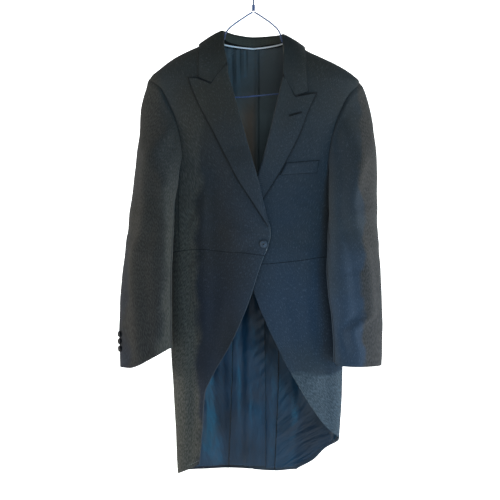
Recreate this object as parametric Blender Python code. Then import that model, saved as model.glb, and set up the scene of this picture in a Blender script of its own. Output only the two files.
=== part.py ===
"""A one-button cutaway coat with peaked lapels, hung on a coated wire hanger.

Metres, +Z up, +X to the wearer's left and -Y to the front. The origin is the inside top of the
hanger's hook, where a rail carries it, so every height is written as a drop below the rail.

The body is a stack of level sections. A place on it is a share and a drop: the share runs from 0
at the centre front to 1 at the centre back, negative on the wearer's right. Each piece of cloth is
a grid of such places between its own seams, and what lies on a piece is lifted off it.
"""
import math
from collections import namedtuple

import bpy
import numpy as np

# Cloth
WOOL = 0.0022
SATIN = 0.0010
GAP = 0.0003
SEAM = 0.0004
LIE = WOOL + 3 * GAP
PI = math.pi
RIGHT, LEFT = -1, 1

# Level sections of the body: how far it reaches to each side, to the front and to the back
Section = namedtuple("Section", "drop right left front back square")
BODY = (
    Section(0.1400, 0.068, 0.064, 0.003, 0.026, 2.10),
    Section(0.1475, 0.084, 0.078, 0.010, 0.036, 2.10),
    Section(0.1560, 0.102, 0.091, 0.018, 0.045, 2.10),
    Section(0.1655, 0.122, 0.105, 0.027, 0.0515, 2.15),
    Section(0.1800, 0.154, 0.128, 0.034, 0.0535, 2.20),
    Section(0.1920, 0.1775, 0.154, 0.0385, 0.055, 2.20),
    Section(0.2060, 0.1985, 0.184, 0.042, 0.056, 2.25),
    Section(0.2210, 0.217, 0.211, 0.045, 0.0565, 2.30),
    Section(0.2360, 0.2345, 0.232, 0.0475, 0.057, 2.30),
    Section(0.2480, 0.240, 0.243, 0.049, 0.0575, 2.30),
    Section(0.3000, 0.228, 0.234, 0.053, 0.059, 2.40),
    Section(0.4000, 0.213, 0.219, 0.0575, 0.060, 2.60),
    Section(0.4920, 0.204, 0.208, 0.0585, 0.058, 2.70),
    Section(0.5700, 0.197, 0.201, 0.0585, 0.054, 2.70),
    Section(0.6400, 0.191, 0.197, 0.0575, 0.0495, 2.70),
    Section(0.7500, 0.190, 0.202, 0.054, 0.051, 2.75),
    Section(0.8500, 0.1895, 0.206, 0.050, 0.053, 2.80),
    Section(0.9500, 0.184, 0.204, 0.046, 0.054, 2.80),
    Section(1.0500, 0.1785, 0.198, 0.041, 0.0545, 2.80),
    Section(1.1600, 0.173, 0.191, 0.038, 0.055, 2.80),
)
TURN = np.linspace(0.0, PI, 181)

# The body's largest soft folds: how far round from the centre front each starts and ends
Fold = namedtuple("Fold", "side top bottom start end width height")
FOLDS = (
    Fold(RIGHT, 0.40, 1.16, 0.112, 0.104, 0.016, 0.0035),
    Fold(RIGHT, 0.52, 1.16, 0.148, 0.142, 0.014, -0.0030),
    Fold(RIGHT, 0.80, 1.18, 0.330, 0.325, 0.026, 0.0040),
    Fold(RIGHT, 0.80, 1.18, 0.275, 0.280, 0.020, -0.0025),
    Fold(LEFT, 0.55, 1.05, 0.128, 0.120, 0.020, 0.0025),
    Fold(LEFT, 0.78, 1.12, 0.165, 0.170, 0.016, -0.0030),
    Fold(LEFT, 0.80, 1.18, 0.330, 0.325, 0.026, 0.0040),
    Fold(LEFT, 0.82, 1.18, 0.285, 0.280, 0.020, -0.0025),
)

# Seams and edges, as places that a maker would chalk: which part of the body, how far from the
# middle, and the drop
Mark = namedtuple("Mark", "part x drop")
ROLL = {
    RIGHT: (Mark("front", -0.0705, 0.1500), Mark("front", -0.0672, 0.1684),
            Mark("front", -0.0588, 0.2102), Mark("front", -0.0418, 0.2907),
            Mark("front", -0.0181, 0.3769), Mark("front", 0.0066, 0.4625),
            Mark("front", 0.0278, 0.5500), Mark("front", 0.0375, 0.5880)),
    LEFT: (Mark("front", 0.0722, 0.1500), Mark("front", 0.0665, 0.2400),
           Mark("front", 0.0528, 0.2975), Mark("front", 0.0369, 0.3654),
           Mark("front", 0.0189, 0.4332), Mark("front", 0.0066, 0.4735),
           Mark("front", -0.0125, 0.5400), Mark("front", -0.0290, 0.5980)),
}
EDGE = {
    RIGHT: ROLL[RIGHT] + (
        Mark("front", 0.0379, 0.6036), Mark("front", 0.0346, 0.6193),
        Mark("front", 0.0301, 0.6350), Mark("front", 0.0234, 0.6484),
        Mark("front", 0.0077, 0.6933), Mark("front", -0.0091, 0.7472),
        Mark("front", -0.0494, 0.8418), Mark("front", -0.0958, 0.9255),
        Mark("front", -0.1099, 0.9596), Mark("front", -0.1157, 1.0367),
        Mark("front", -0.1233, 1.1213)),
    LEFT: ROLL[LEFT] + (
        Mark("front", -0.0275, 0.6250), Mark("front", -0.0215, 0.6500),
        Mark("front", -0.0095, 0.6900), Mark("front", -0.0005, 0.7249),
        Mark("front", 0.0538, 0.8531), Mark("front", 0.1115, 0.9596),
        Mark("front", 0.1495, 1.0166), Mark("front", 0.1764, 1.0470),
        Mark("side", 0.0, 1.0697), Mark("back", 0.1693, 1.0960),
        Mark("back", 0.1400, 1.1260), Mark("back", 0.1017, 1.1490)),
}
ARM_TOP = {RIGHT: 0.239, LEFT: 0.248}
ARM_FRONT = {
    RIGHT: (Mark("side", 0.0, 0.2390), Mark("front", -0.2106, 0.2670),
            Mark("front", -0.1960, 0.2960), Mark("front", -0.1790, 0.3345),
            Mark("front", -0.1673, 0.3760), Mark("front", -0.1610, 0.4180),
            Mark("front", -0.1660, 0.4520)),
    LEFT: (Mark("side", 0.0, 0.2480), Mark("front", 0.2180, 0.2810),
           Mark("front", 0.2007, 0.3130), Mark("front", 0.1863, 0.3480),
           Mark("front", 0.1744, 0.3927), Mark("front", 0.1686, 0.4340),
           Mark("front", 0.1710, 0.4600)),
}
ARM_BACK = {
    RIGHT: (Mark("side", 0.0, 0.2390), Mark("back", -0.2120, 0.2700),
            Mark("back", -0.1900, 0.3100), Mark("back", -0.1760, 0.3500),
            Mark("back", -0.1680, 0.4000)),
    LEFT: (Mark("side", 0.0, 0.2480), Mark("back", 0.2160, 0.2800),
           Mark("back", 0.1940, 0.3200), Mark("back", 0.1800, 0.3600),
           Mark("back", 0.1720, 0.4080)),
}
ARM_BASE = {
    RIGHT: (Mark("front", -0.1660, 0.4520), Mark("front", -0.1880, 0.4810),
            Mark("side", 0.0, 0.4940), Mark("back", -0.1920, 0.4820),
            Mark("back", -0.1780, 0.4450), Mark("back", -0.1680, 0.4000)),
    LEFT: (Mark("front", 0.1710, 0.4600), Mark("front", 0.1920, 0.4880),
           Mark("side", 0.0, 0.5000), Mark("back", 0.1960, 0.4880),
           Mark("back", 0.1820, 0.4520), Mark("back", 0.1720, 0.4080)),
}
SIDE_SEAM = {
    RIGHT: (Mark("front", -0.1660, 0.4520), Mark("front", -0.1700, 0.5200),
            Mark("front", -0.1700, 0.6600)),
    LEFT: (Mark("front", 0.1710, 0.4600), Mark("front", 0.1740, 0.5300),
           Mark("front", 0.1740, 0.6700)),
}
BACK_SEAM = {
    RIGHT: (Mark("back", -0.1680, 0.4000), Mark("back", -0.1500, 0.4500),
            Mark("back", -0.1240, 0.5000), Mark("back", -0.0950, 0.5500),
            Mark("back", -0.0690, 0.6000), Mark("back", -0.0520, 0.6550),
            Mark("back", -0.0475, 0.7200), Mark("back", -0.0487, 0.8600),
            Mark("back", -0.0575, 1.1600)),
    LEFT: (Mark("back", 0.1720, 0.4080), Mark("back", 0.1540, 0.4500),
           Mark("back", 0.1280, 0.5000), Mark("back", 0.0990, 0.5500),
           Mark("back", 0.0730, 0.6000), Mark("back", 0.0560, 0.6550),
           Mark("back", 0.0540, 0.7200), Mark("back", 0.0594, 0.8700),
           Mark("back", 0.0500, 1.1600)),
}
WAIST = {
    RIGHT: (Mark("front", 0.0400, 0.6500), Mark("front", 0.0055, 0.6451),
            Mark("front", -0.0913, 0.6361), Mark("front", -0.1026, 0.6343),
            Mark("front", -0.1231, 0.6335), Mark("side", 0.0, 0.6440),
            Mark("back", -0.1200, 0.6500), Mark("back", -0.0500, 0.6550)),
    LEFT: (Mark("front", -0.0400, 0.6690), Mark("front", 0.0246, 0.6664),
           Mark("front", 0.1046, 0.6586), Mark("front", 0.1616, 0.6508),
           Mark("side", 0.0, 0.6500), Mark("back", 0.1200, 0.6530),
           Mark("back", 0.0500, 0.6550)),
}
HEM = {
    RIGHT: (Mark("front", -0.1233, 1.1215), Mark("front", -0.1500, 1.1350),
            Mark("side", 0.0, 1.1470), Mark("back", -0.0570, 1.1470),
            Mark("back", 0.0, 1.1475)),
    LEFT: (Mark("side", 0.0, 1.1500), Mark("back", 0.1017, 1.1500),
           Mark("back", 0.0500, 1.1530), Mark("back", 0.0, 1.1500)),
}
LAPEL_EDGE = {
    RIGHT: (Mark("front", -0.1467, 0.2456), Mark("front", -0.1281, 0.2960),
            Mark("front", -0.0933, 0.3639), Mark("front", -0.0633, 0.4237),
            Mark("front", -0.0357, 0.4766), Mark("front", 0.0032, 0.5367),
            Mark("front", 0.0330, 0.5840)),
    LEFT: (Mark("front", 0.1425, 0.2808), Mark("front", 0.1225, 0.3240),
           Mark("front", 0.1052, 0.3704), Mark("front", 0.0705, 0.4399),
           Mark("front", 0.0525, 0.4714), Mark("front", 0.0256, 0.5141),
           Mark("front", -0.0040, 0.5600), Mark("front", -0.0225, 0.5900)),
}
LAPEL_TOP = {
    RIGHT: (Mark("front", -0.0585, 0.2157), Mark("front", -0.0960, 0.2635),
            Mark("front", -0.1275, 0.2480), Mark("front", -0.1467, 0.2456)),
    LEFT: (Mark("front", 0.0655, 0.2417), Mark("front", 0.0938, 0.2945),
           Mark("front", 0.1425, 0.2808)),
}
LAPEL_END = {RIGHT: 0.584, LEFT: 0.592}
NECK_DROP = {"side": 0.1475, "back": 0.1600, "front": 0.1650}

# The lapel's roll: how far the front's edge stays inside it and over what length that ends, the
# belly beside it and its reach, and how the cloth dips to the edge as it turns
ROLL_INSET, ROLL_INSET_FADE = 0.004, 0.03
LAPEL_SWELL, SWELL_REACH = 0.0025, 0.03
ROLL_DIP, ROLL_WIDTH, ROLL_FADE = 0.0012, 0.006, 0.05

# The right front laps over the left one, so it stands off the body there
LAP_LIFT = ((0.40, 0.0), (0.455, 0.0085), (0.600, 0.0085), (0.640, 0.0048), (0.735, 0.0048),
            (0.800, 0.0))
LAP_START, LAP_FULL = -0.095, -0.045

# The centre vent: the right tail's underlap
VENT = ((0.15, 0.0), (0.7115, 0.0), (0.745, 0.0245), (1.16, 0.0265))
VENT_TUCK = 0.0050
TUCK_START, TUCK_RUN = -0.07, 0.05
TUCK_TOP, TUCK_FADE = 0.656, 0.038

# Breast welt on the left front: its top and bottom edges
WELT_TOP = (Mark("front", 0.0735, 0.4395), Mark("front", 0.1484, 0.4325))
WELT_BOTTOM = (Mark("front", 0.0595, 0.4668), Mark("front", 0.1426, 0.4619))
WELT_THICK = 0.0016

# Sleeves: silhouettes from the middle, the middle's depth and half the depth
Sleeve = namedtuple("Sleeve", "drop outer inner middle depth")
SLEEVE = {
    RIGHT: (
        Sleeve(0.2390, 0.2365, 0.205, 0.000, 0.020),
        Sleeve(0.2650, 0.2456, 0.190, -0.002, 0.034),
        Sleeve(0.3170, 0.2596, 0.172, -0.006, 0.049),
        Sleeve(0.3650, 0.2620, 0.163, -0.010, 0.055),
        Sleeve(0.4120, 0.2680, 0.160, -0.016, 0.057),
        Sleeve(0.4730, 0.2743, 0.163, -0.024, 0.056),
        Sleeve(0.5200, 0.2790, 0.172, -0.031, 0.054),
        Sleeve(0.5820, 0.2860, 0.1785, -0.039, 0.051),
        Sleeve(0.6500, 0.2940, 0.1845, -0.046, 0.048),
        Sleeve(0.7080, 0.3000, 0.1890, -0.050, 0.045),
        Sleeve(0.7760, 0.3025, 0.1880, -0.054, 0.042),
        Sleeve(0.8280, 0.3037, 0.1870, -0.057, 0.040),
        Sleeve(0.9000, 0.3014, 0.1865, -0.059, 0.038),
    ),
    LEFT: (
        Sleeve(0.2480, 0.2440, 0.210, 0.000, 0.020),
        Sleeve(0.2730, 0.2590, 0.195, -0.002, 0.034),
        Sleeve(0.3220, 0.2720, 0.178, -0.006, 0.049),
        Sleeve(0.3650, 0.2775, 0.170, -0.010, 0.055),
        Sleeve(0.4350, 0.2830, 0.166, -0.018, 0.057),
        Sleeve(0.5020, 0.2828, 0.163, -0.028, 0.055),
        Sleeve(0.5700, 0.2825, 0.1656, -0.038, 0.052),
        Sleeve(0.6280, 0.2840, 0.1650, -0.045, 0.049),
        Sleeve(0.6850, 0.2883, 0.1625, -0.050, 0.046),
        Sleeve(0.7420, 0.2900, 0.1670, -0.054, 0.043),
        Sleeve(0.7900, 0.2910, 0.1740, -0.056, 0.041),
        Sleeve(0.8640, 0.2895, 0.1780, -0.058, 0.039),
        Sleeve(0.9000, 0.2888, 0.1781, -0.058, 0.038),
    ),
}
CUFF = {
    RIGHT: ((0.186, 0.853), (0.2254, 0.8745), (0.2615, 0.893), (0.278, 0.8975), (0.3014, 0.898)),
    LEFT: ((0.178, 0.884), (0.1877, 0.8907), (0.236, 0.8935), (0.2888, 0.8945)),
}
SLEEVE_SKEW = 0.30

# The sleeve's head: how long it takes to leave the armhole, how it clears the body and the hole
SLEEVE_BLEND = 0.12
SLEEVE_CLEAR, CLEAR_RUN, HEAD_CLEAR = 0.0052, 0.025, 0.0004
SLEEVE_TRIM = 0.009
HOLE_MIDDLE, HOLE_INSET, ABOUT_HALF_GIRTH = 0.37, 0.0013, 0.5
HEAD_LIFT, BASE_LIFT = 0.0006, 0.0026
BASE_FROM, BASE_RUN = 0.30, 0.14
CUFF_LEVEL = 0.88
FRONT_SEAM_ANGLE = math.radians(150)
BACK_SEAM_ANGLE_TOP = math.radians(-80)
BACK_SEAM_ANGLE_CUFF = {RIGHT: math.radians(6), LEFT: math.radians(-44)}

# Steps across the pieces, and the shares of their width or length where their points are
FRONT_ACROSS, BACK_ACROSS, SKIRT_ACROSS = 9, 5, 16
SKIRT_DOWN = (0, 0.12, 0.25, 0.38, 0.50, 0.61, 0.70, 0.77, 0.82, 0.865, 0.91, 0.955, 1.0)
SLEEVE_DOWN = (0, 0.018, 0.045, 0.08, 0.125, 0.18, 0.25, 0.34, 0.44, 0.55, 0.66, 0.77, 0.89, 1.0)
LAPEL_ACROSS = (0.0, 0.025, 0.07, 0.2, 0.36, 0.52, 0.68, 0.84, 1.0)
LAPEL_DOWN = 14
LEAF_STEPS, STAND_STEPS = 30, 20
LEAF_DOWN = (0, 0.15, 0.5, 0.75, 1.0)

# How many steps each stretch of a seam has, shared by the pieces that meet there
SHOULDER_STEPS, FRONT_ARM_STEPS, SIDE_STEPS = 4, 6, 5
BACK_ARM_STEPS, TAIL_STEPS, BASE_STEPS = 5, 10, 6

# The collar: its fold line, the middle of its leaf, the leaf's outer edge and the drop of the
# stand's foot
Collar = namedtuple("Collar", "fold middle edge foot")
COLLAR = {
    RIGHT: (
        Collar(("lay", -0.0588, 0.2125), ("lay", -0.0955, 0.2585), ("lay", -0.1254, 0.2457),
               0.2360),
        Collar(("lay", -0.0648, 0.1830), ("lay", -0.0985, 0.2150), ("lay", -0.1245, 0.2044),
               0.2000),
        Collar((-0.0705, -0.0175, 0.1530), (-0.0985, -0.0230, 0.1660), ("lay", -0.1238, 0.1780),
               0.1550),
        Collar((-0.0747, 0.0, 0.1302), (-0.1000, 0.0, 0.1436), (-0.1258, 0.0, 0.1620),
               0.1450),
        Collar((-0.0655, 0.0260, 0.1284), (-0.0920, 0.0375, 0.1450), (-0.1130, 0.0470, 0.1680),
               0.1500),
        Collar((-0.0450, 0.0455, 0.1310), (-0.0580, 0.0585, 0.1550), (-0.0700, 0.0625, 0.1810),
               0.1535),
        Collar((0.0, 0.0575, 0.1347), (0.0, 0.0620, 0.1600), (0.0, 0.0640, 0.1850),
               0.1582),
    ),
    LEFT: (
        Collar(("lay", 0.0658, 0.2380), ("lay", 0.0930, 0.2885), ("lay", 0.1240, 0.2782),
               0.2600),
        Collar(("lay", 0.0680, 0.2000), ("lay", 0.0960, 0.2380), ("lay", 0.1200, 0.2300),
               0.2200),
        Collar((0.0705, -0.0175, 0.1600), (0.0965, -0.0290, 0.1755), ("lay", 0.1185, 0.1960),
               0.1600),
        Collar((0.0715, 0.0, 0.1385), (0.0950, 0.0, 0.1520), (0.1170, 0.0, 0.1675),
               0.1500),
        Collar((0.0650, 0.0260, 0.1355), (0.0880, 0.0375, 0.1520), (0.1070, 0.0470, 0.1750),
               0.1540),
        Collar((0.0450, 0.0455, 0.1343), (0.0570, 0.0585, 0.1570), (0.0690, 0.0625, 0.1825),
               0.1535),
        Collar((0.0, 0.0575, 0.1347), (0.0, 0.0620, 0.1600), (0.0, 0.0640, 0.1850),
               0.1582),
    ),
}
COLLAR_LIFT = {"fold": 0.0040, "middle": 0.0048, "edge": 0.0034}
UNDER_COLLAR = (0.0, 0.005, -0.30)
STAND_FROM = 2.7
STAND_DROP = 0.0026
STAND_LEAN = 0.0045

# Piping round the neck seam, inside
PIPING_RADIUS = 0.0018
PIPING_IN = WOOL + GAP + 0.0022
PIPING_BELOW = 0.0008
PIPING_REACH, PIPING_STEPS = 0.86, 16

# Linings: how they lie under the wool, and how far they stop short of the edges
LINING_LIE = WOOL + 3 * GAP
BACK_LINING_LIE = WOOL + 0.0026
LINING_INSET = 0.30
LINING_BELOW_SEAM = 0.0060
LINING_ABOVE_HEM = 0.012
FACING_STEPS = 1
Pleat = namedtuple("Pleat", "top bottom start end width height")
PLEAT_STEPS = 26
PLEATS = (
    Pleat(0.150, 0.300, -0.060, -0.052, 0.0060, 0.0030),
    Pleat(0.150, 0.280, -0.040, -0.036, 0.0060, 0.0032),
    Pleat(0.150, 0.235, -0.019, -0.018, 0.0050, 0.0022),
    Pleat(0.150, 0.700, 0.0073, 0.0073, 0.0050, 0.0020),
    Pleat(0.150, 0.220, 0.034, 0.033, 0.0060, 0.0015),
    Pleat(0.150, 0.260, 0.056, 0.052, 0.0070, 0.0020),
)

# Buttons
FRONT_BUTTON = (0.0226, 0.6211)
FRONT_BUTTON_RADIUS, FRONT_BUTTON_HEIGHT = 0.0088, 0.0050
BUTTON_SHANK = 0.0010
CUFF_BUTTON_RADIUS, CUFF_BUTTON_HEIGHT = 0.0070, 0.0040
CUFF_BUTTON_DROPS = {RIGHT: (0.8237, 0.8399, 0.8564), LEFT: (0.8290, 0.8450, 0.8610)}
CUFF_BUTTON_ANGLE = {RIGHT: math.radians(22), LEFT: math.radians(-30)}
TAIL_BUTTON_DROP, TAIL_BUTTON_X = 0.668, 0.040

# Hanger
WIRE = 0.0018
WIRE_LIFT = WOOL + GAP + SATIN + GAP + WIRE + 0.0004
HOOK_RADIUS = 0.018
HOOK_TIP_ANGLE, HOOK_BACK_ANGLE = 205, -52
HOOK_NECK = ((0.0072, 0.0415), (0.0030, 0.0485), (0.0005, 0.0560), (0.0, 0.0640), (0.0, 0.0697))
TWIST_RADIUS, TWIST_LENGTH = 0.0042, 0.0160
TWIST_DROP = 0.0860
ARM_START = 0.098
ARM_REACH = 0.196
BAR_INSET = 0.0064
CORNER_OUT, CORNER_DROP, CORNER_BACK = (0.007, 0.009, 0.005), 0.010, 0.004
HOOK_STEPS, ARM_STEPS, BAR_STEPS = 14, 6, 16
Bend = namedtuple("Bend", "x drop")
ARM = {
    RIGHT: (Bend(-0.0028, 0.0884), Bend(-0.010, 0.0925), Bend(-0.020, 0.0990),
            Bend(-0.040, 0.1125), Bend(-0.056, 0.1255), Bend(-0.0645, 0.1375),
            Bend(-0.0672, 0.1490), Bend(-0.0745, 0.1590)),
    LEFT: (Bend(0.0028, 0.0884), Bend(0.010, 0.0925), Bend(0.020, 0.0990),
           Bend(0.040, 0.1130), Bend(0.055, 0.1270), Bend(0.0615, 0.1385),
           Bend(0.0640, 0.1500), Bend(0.0710, 0.1610)),
}
BAR = (Bend(-0.196, 0.2560), Bend(-0.150, 0.2730), Bend(-0.090, 0.2825), Bend(-0.039, 0.2838),
       Bend(0.006, 0.2806), Bend(0.050, 0.2764), Bend(0.120, 0.2700), Bend(0.196, 0.2640))


def smooth(knots, values, at):
    """A smooth curve through the values at rising knots, without overshoot, read at places."""
    knots = np.asarray(knots, float)
    values = np.asarray(values, float)
    at = np.clip(np.asarray(at, float), knots[0], knots[-1])
    step = np.diff(knots)
    rise = np.diff(values) / step
    slope = np.concatenate([rise[:1], np.zeros(len(rise) - 1), rise[-1:]])
    before, after = rise[:-1], rise[1:]
    turning = before * after <= 0
    both = np.where(turning, 1.0, before + after)
    slope[1:-1] = np.where(turning, 0.0, 2 * before * after / both)
    k = np.clip(np.searchsorted(knots, at, side="right") - 1, 0, len(step) - 1)
    h = step[k]
    t = (at - knots[k]) / h
    low = (1 + 2 * t) * (1 - t) ** 2 * values[k] + t * (1 - t) ** 2 * h * slope[k]
    high = t * t * (3 - 2 * t) * values[k + 1] + t * t * (t - 1) * h * slope[k + 1]
    return low + high


def ease(value):
    """0 to 1 with a soft start and end."""
    value = np.clip(value, 0.0, 1.0)
    return value * value * (3 - 2 * value)


def section(column, drop):
    """One column of the body's sections at any drop."""
    return smooth([row.drop for row in BODY], [getattr(row, column) for row in BODY], drop)


def half_ring(left, drop):
    """Half of each level section, from the centre front round the side to the centre back."""
    width = np.where(left, section("left", drop), section("right", drop))[:, None]
    front = section("front", drop)[:, None]
    back = section("back", drop)[:, None]
    power = 2.0 / section("square", drop)[:, None]
    across = width * np.maximum(np.sin(TURN), 0.0) ** power
    depth = np.where(TURN < PI / 2, -front, back) * np.abs(np.cos(TURN)) ** power
    steps = np.hypot(np.diff(across), np.diff(depth))
    run = np.concatenate([np.zeros((len(drop), 1)), np.cumsum(steps, axis=1)], axis=1)
    return across, depth, run


def wrapped(share):
    """A share past the centre back goes on round the other side."""
    return (share + 1.0) % 2.0 - 1.0


def bare(share, drop):
    """Points of the body's outer surface, and how far round each lies from the centre front."""
    share = wrapped(share)
    left = share > 0
    across, depth, run = half_ring(left, drop)
    reach = np.abs(share) * run[:, -1]
    k = np.clip((run < reach[:, None]).sum(axis=1) - 1, 0, len(TURN) - 2)
    row = np.arange(len(share))
    t = (reach - run[row, k]) / (run[row, k + 1] - run[row, k])
    x = across[row, k] * (1 - t) + across[row, k + 1] * t
    y = depth[row, k] * (1 - t) + depth[row, k + 1] * t
    return np.stack([np.where(left, x, -x), y, -drop], axis=1), reach


def fold_height(share, drop, reach):
    """How far the body's soft folds stand out or in at each place."""
    side = np.where(wrapped(share) > 0, LEFT, RIGHT)
    height = np.zeros(len(drop))
    for fold in FOLDS:
        along = (drop - fold.top) / (fold.bottom - fold.top)
        place = fold.start + (fold.end - fold.start) * along
        shape = np.exp(-(((reach - place) / fold.width) ** 2))
        window = ease(along * 4) * ease((1.15 - along) * 4)
        height += np.where(side == fold.side, fold.height * shape * window, 0.0)
    return height


def skin(share, drop, lift=0.0):
    """Points lifted off the body along its normal, folds included, for grids of any shape."""
    share, drop, lift = np.broadcast_arrays(np.asarray(share, float), drop, lift)
    form = share.shape
    share, drop, lift = share.ravel(), drop.ravel(), lift.ravel()
    point, reach = bare(share, drop)
    aside, lower = 0.004, 0.002
    along = bare(share + aside, drop)[0] - bare(share - aside, drop)[0]
    down = bare(share, drop + lower)[0] - bare(share, drop - lower)[0]
    normal = np.cross(down, along)
    normal /= np.linalg.norm(normal, axis=1)[:, None]
    height = lift + fold_height(share, drop, reach)
    return (point + height[:, None] * normal).reshape(*form, 3)


def share_at(side, mark):
    """The share at a chalk mark."""
    left = np.array([side == LEFT if mark.part == "side" or mark.x == 0 else mark.x > 0])
    across, _, run = half_ring(left, np.array([mark.drop]))
    widest = len(TURN) // 2
    if mark.part == "side":
        reach = run[0, widest]
    elif mark.part == "front":
        reach = np.interp(abs(mark.x), across[0, :widest + 1], run[0, :widest + 1])
    else:
        reach = np.interp(-abs(mark.x), -across[0, widest:], run[0, widest:])
    share = (1 if left[0] else -1) * reach / run[0, -1]
    if side == RIGHT and mark.part == "back" and mark.x > 0:
        share -= 2
    return share


def down_line(side, marks):
    """A long seam or edge: the share at each drop."""
    drops = [mark.drop for mark in marks]
    shares = [share_at(side, mark) for mark in marks]
    return lambda drop: smooth(drops, shares, drop)


def cross_line(side, marks):
    """A short seam or edge: the drop at each share."""
    pairs = sorted((share_at(side, mark), mark.drop) for mark in marks)
    return lambda share: smooth([p[0] for p in pairs], [p[1] for p in pairs], share)


def straight_line(side, marks):
    """A short edge that is straight between its marks."""
    pairs = sorted((share_at(side, mark), mark.drop) for mark in marks)
    return lambda share: np.interp(share, [p[0] for p in pairs], [p[1] for p in pairs])


def level(drop):
    """A short edge at one drop."""
    return lambda share: np.full(np.shape(share), drop)


def moved(line, by):
    """A line moved by a distance, to leave the gap of a seam."""
    return lambda at: line(at) + by


def grid(inner, outer, top, bottom, across, down):
    """Shares and drops of a piece between two long edges and two short ones."""
    def places(line):
        drop = np.full(len(across), float(line(inner(np.array([0.5])))[0]))
        for _ in range(12):
            share = inner(drop) + across * (outer(drop) - inner(drop))
            drop = line(share)
        return drop
    high, low = places(top), places(bottom)
    drop = high[None, :] + down[:, None] * (low - high)[None, :]
    share = inner(drop) + across[None, :] * (outer(drop) - inner(drop))
    return share, drop


def steps_between(marks, counts):
    """Shares of a length that pass through the marks, with a count of even steps between each."""
    marks = np.asarray(marks, float)
    parts = [np.linspace(a, b, n, endpoint=False) for a, b, n in zip(marks, marks[1:], counts)]
    whole = np.concatenate(parts + [marks[-1:]])
    return (whole - marks[0]) / (marks[-1] - marks[0])


def material(name, color, roughness, metallic=0.0):
    """A Principled material."""
    made = bpy.data.materials.new(name)
    made.use_nodes = True
    shader = made.node_tree.nodes["Principled BSDF"]
    shader.inputs["Base Color"].default_value = (*color, 1.0)
    shader.inputs["Roughness"].default_value = roughness
    shader.inputs["Metallic"].default_value = metallic
    return made


def add_mesh(name, points, faces, surface):
    """One closed solid from points and faces, turned to face outwards."""
    points = np.asarray(points, float)
    volume = 0.0
    for face in faces:
        first = points[face[0]]
        for a, b in zip(face[1:], face[2:]):
            volume += first @ np.cross(points[a], points[b])
    if volume < 0:
        faces = [(face[0], *reversed(face[1:])) for face in faces]
    mesh = bpy.data.meshes.new(name)
    mesh.from_pydata([tuple(p) for p in points], [], faces)
    mesh.materials.append(surface)
    mesh.shade_smooth()
    mesh.set_sharp_from_angle(angle=math.radians(40))
    body = bpy.data.objects.new(name, mesh)
    bpy.context.scene.collection.objects.link(body)
    return body


def wall(name, outer, inner, surface):
    """A cloth wall between two grids of points, closed by a rim."""
    rows, columns = outer.shape[:2]
    count = rows * columns
    points = np.concatenate([outer.reshape(-1, 3), inner.reshape(-1, 3)])
    at = np.arange(count).reshape(rows, columns)
    faces = []
    for r in range(rows - 1):
        for c in range(columns - 1):
            here, beside = int(at[r, c]), int(at[r, c + 1])
            under, across = int(at[r + 1, c]), int(at[r + 1, c + 1])
            faces.append((here, beside, across, under))
            faces.append((here + count, under + count, across + count, beside + count))
    border = [*at[0, :], *at[1:, -1], *at[-1, -2::-1], *at[-2:0:-1, 0]]
    for a, b in zip(border, border[1:] + border[:1]):
        faces.append((int(b), int(a), int(a) + count, int(b) + count))
    return add_mesh(name, points, faces, surface)


def grid_normals(points, outward):
    """Normals of a grid of points, on the side that outward points to."""
    along = np.gradient(points, axis=1)
    down = np.gradient(points, axis=0)
    normal = np.cross(down, along)
    normal /= np.maximum(np.linalg.norm(normal, axis=2), 1e-12)[:, :, None]
    flip = np.sign((normal * outward).sum(axis=2, keepdims=True))
    return normal * np.where(flip == 0, 1, flip)


def ring_normals(points, outward):
    """Normals of a grid whose rows are closed rings."""
    around = np.concatenate([points[:, -1:], points, points[:, :1]], axis=1)
    wide = np.concatenate([outward[:, -1:], outward, outward[:, :1]], axis=1)
    return grid_normals(around, wide)[:, 1:-1]


def lap_lift(share, drop):
    """How far the right front stands off the body where it laps over the left front."""
    drops, lifts = zip(*LAP_LIFT)
    across = bare(share.ravel(), drop.ravel())[0][:, 0].reshape(share.shape)
    return smooth(drops, lifts, drop) * ease((across - LAP_START) / (LAP_FULL - LAP_START))


def front_lift(side, share, drop):
    """The lift of a front and its skirt."""
    return lap_lift(share, drop) if side == RIGHT else np.zeros(np.shape(drop))


def vent_tuck(share, drop):
    """How far the right tail's underlap is tucked in behind the left tail."""
    past = np.where(share < 0, -1 - share, 1.0)
    aside = ease((past - TUCK_START) / TUCK_RUN)
    return -VENT_TUCK * aside * ease((drop - TUCK_TOP) / TUCK_FADE)


def waist_line(side):
    """The waist seam: its drop at each share."""
    return cross_line(side, WAIST[side])


def front_inner(side):
    """The front's free edge: just inside the lapel's roll, then the cutaway edge itself."""
    edge = down_line(side, EDGE[side])
    end = LAPEL_END[side]

    def line(drop):
        inset = ROLL_INSET * (1 - ease((drop - end) / ROLL_INSET_FADE + 1))
        return edge(drop) + side * inset / half_girth(drop)
    return line


def half_girth(drop):
    """Half the way round the body at each drop."""
    flat = np.ravel(drop)
    return half_ring(np.zeros(len(flat), bool), flat)[2][:, -1].reshape(np.shape(drop))


def seam_gap(line, side, way):
    """A long seam moved half a gap towards the front (-1) or the back (+1)."""
    return lambda drop: line(drop) + side * way * 0.5 * SEAM / half_girth(drop)


def side_name(side):
    return "right" if side == RIGHT else "left"


def arm_rows(side):
    """Drops of the shared steps down the shoulder seam, the armhole's front and the side seam."""
    top = ARM_TOP[side]
    front_end, back_end = ARM_FRONT[side][-1].drop, ARM_BACK[side][-1].drop
    seam = share_at(side, SIDE_SEAM[side][1])
    waist_front = float(waist_line(side)(np.array([seam]))[0])
    waist_back = float(waist_line(side)(np.array([share_at(side, BACK_SEAM[side][5])]))[0])
    return top, front_end, back_end, waist_front, waist_back


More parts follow.
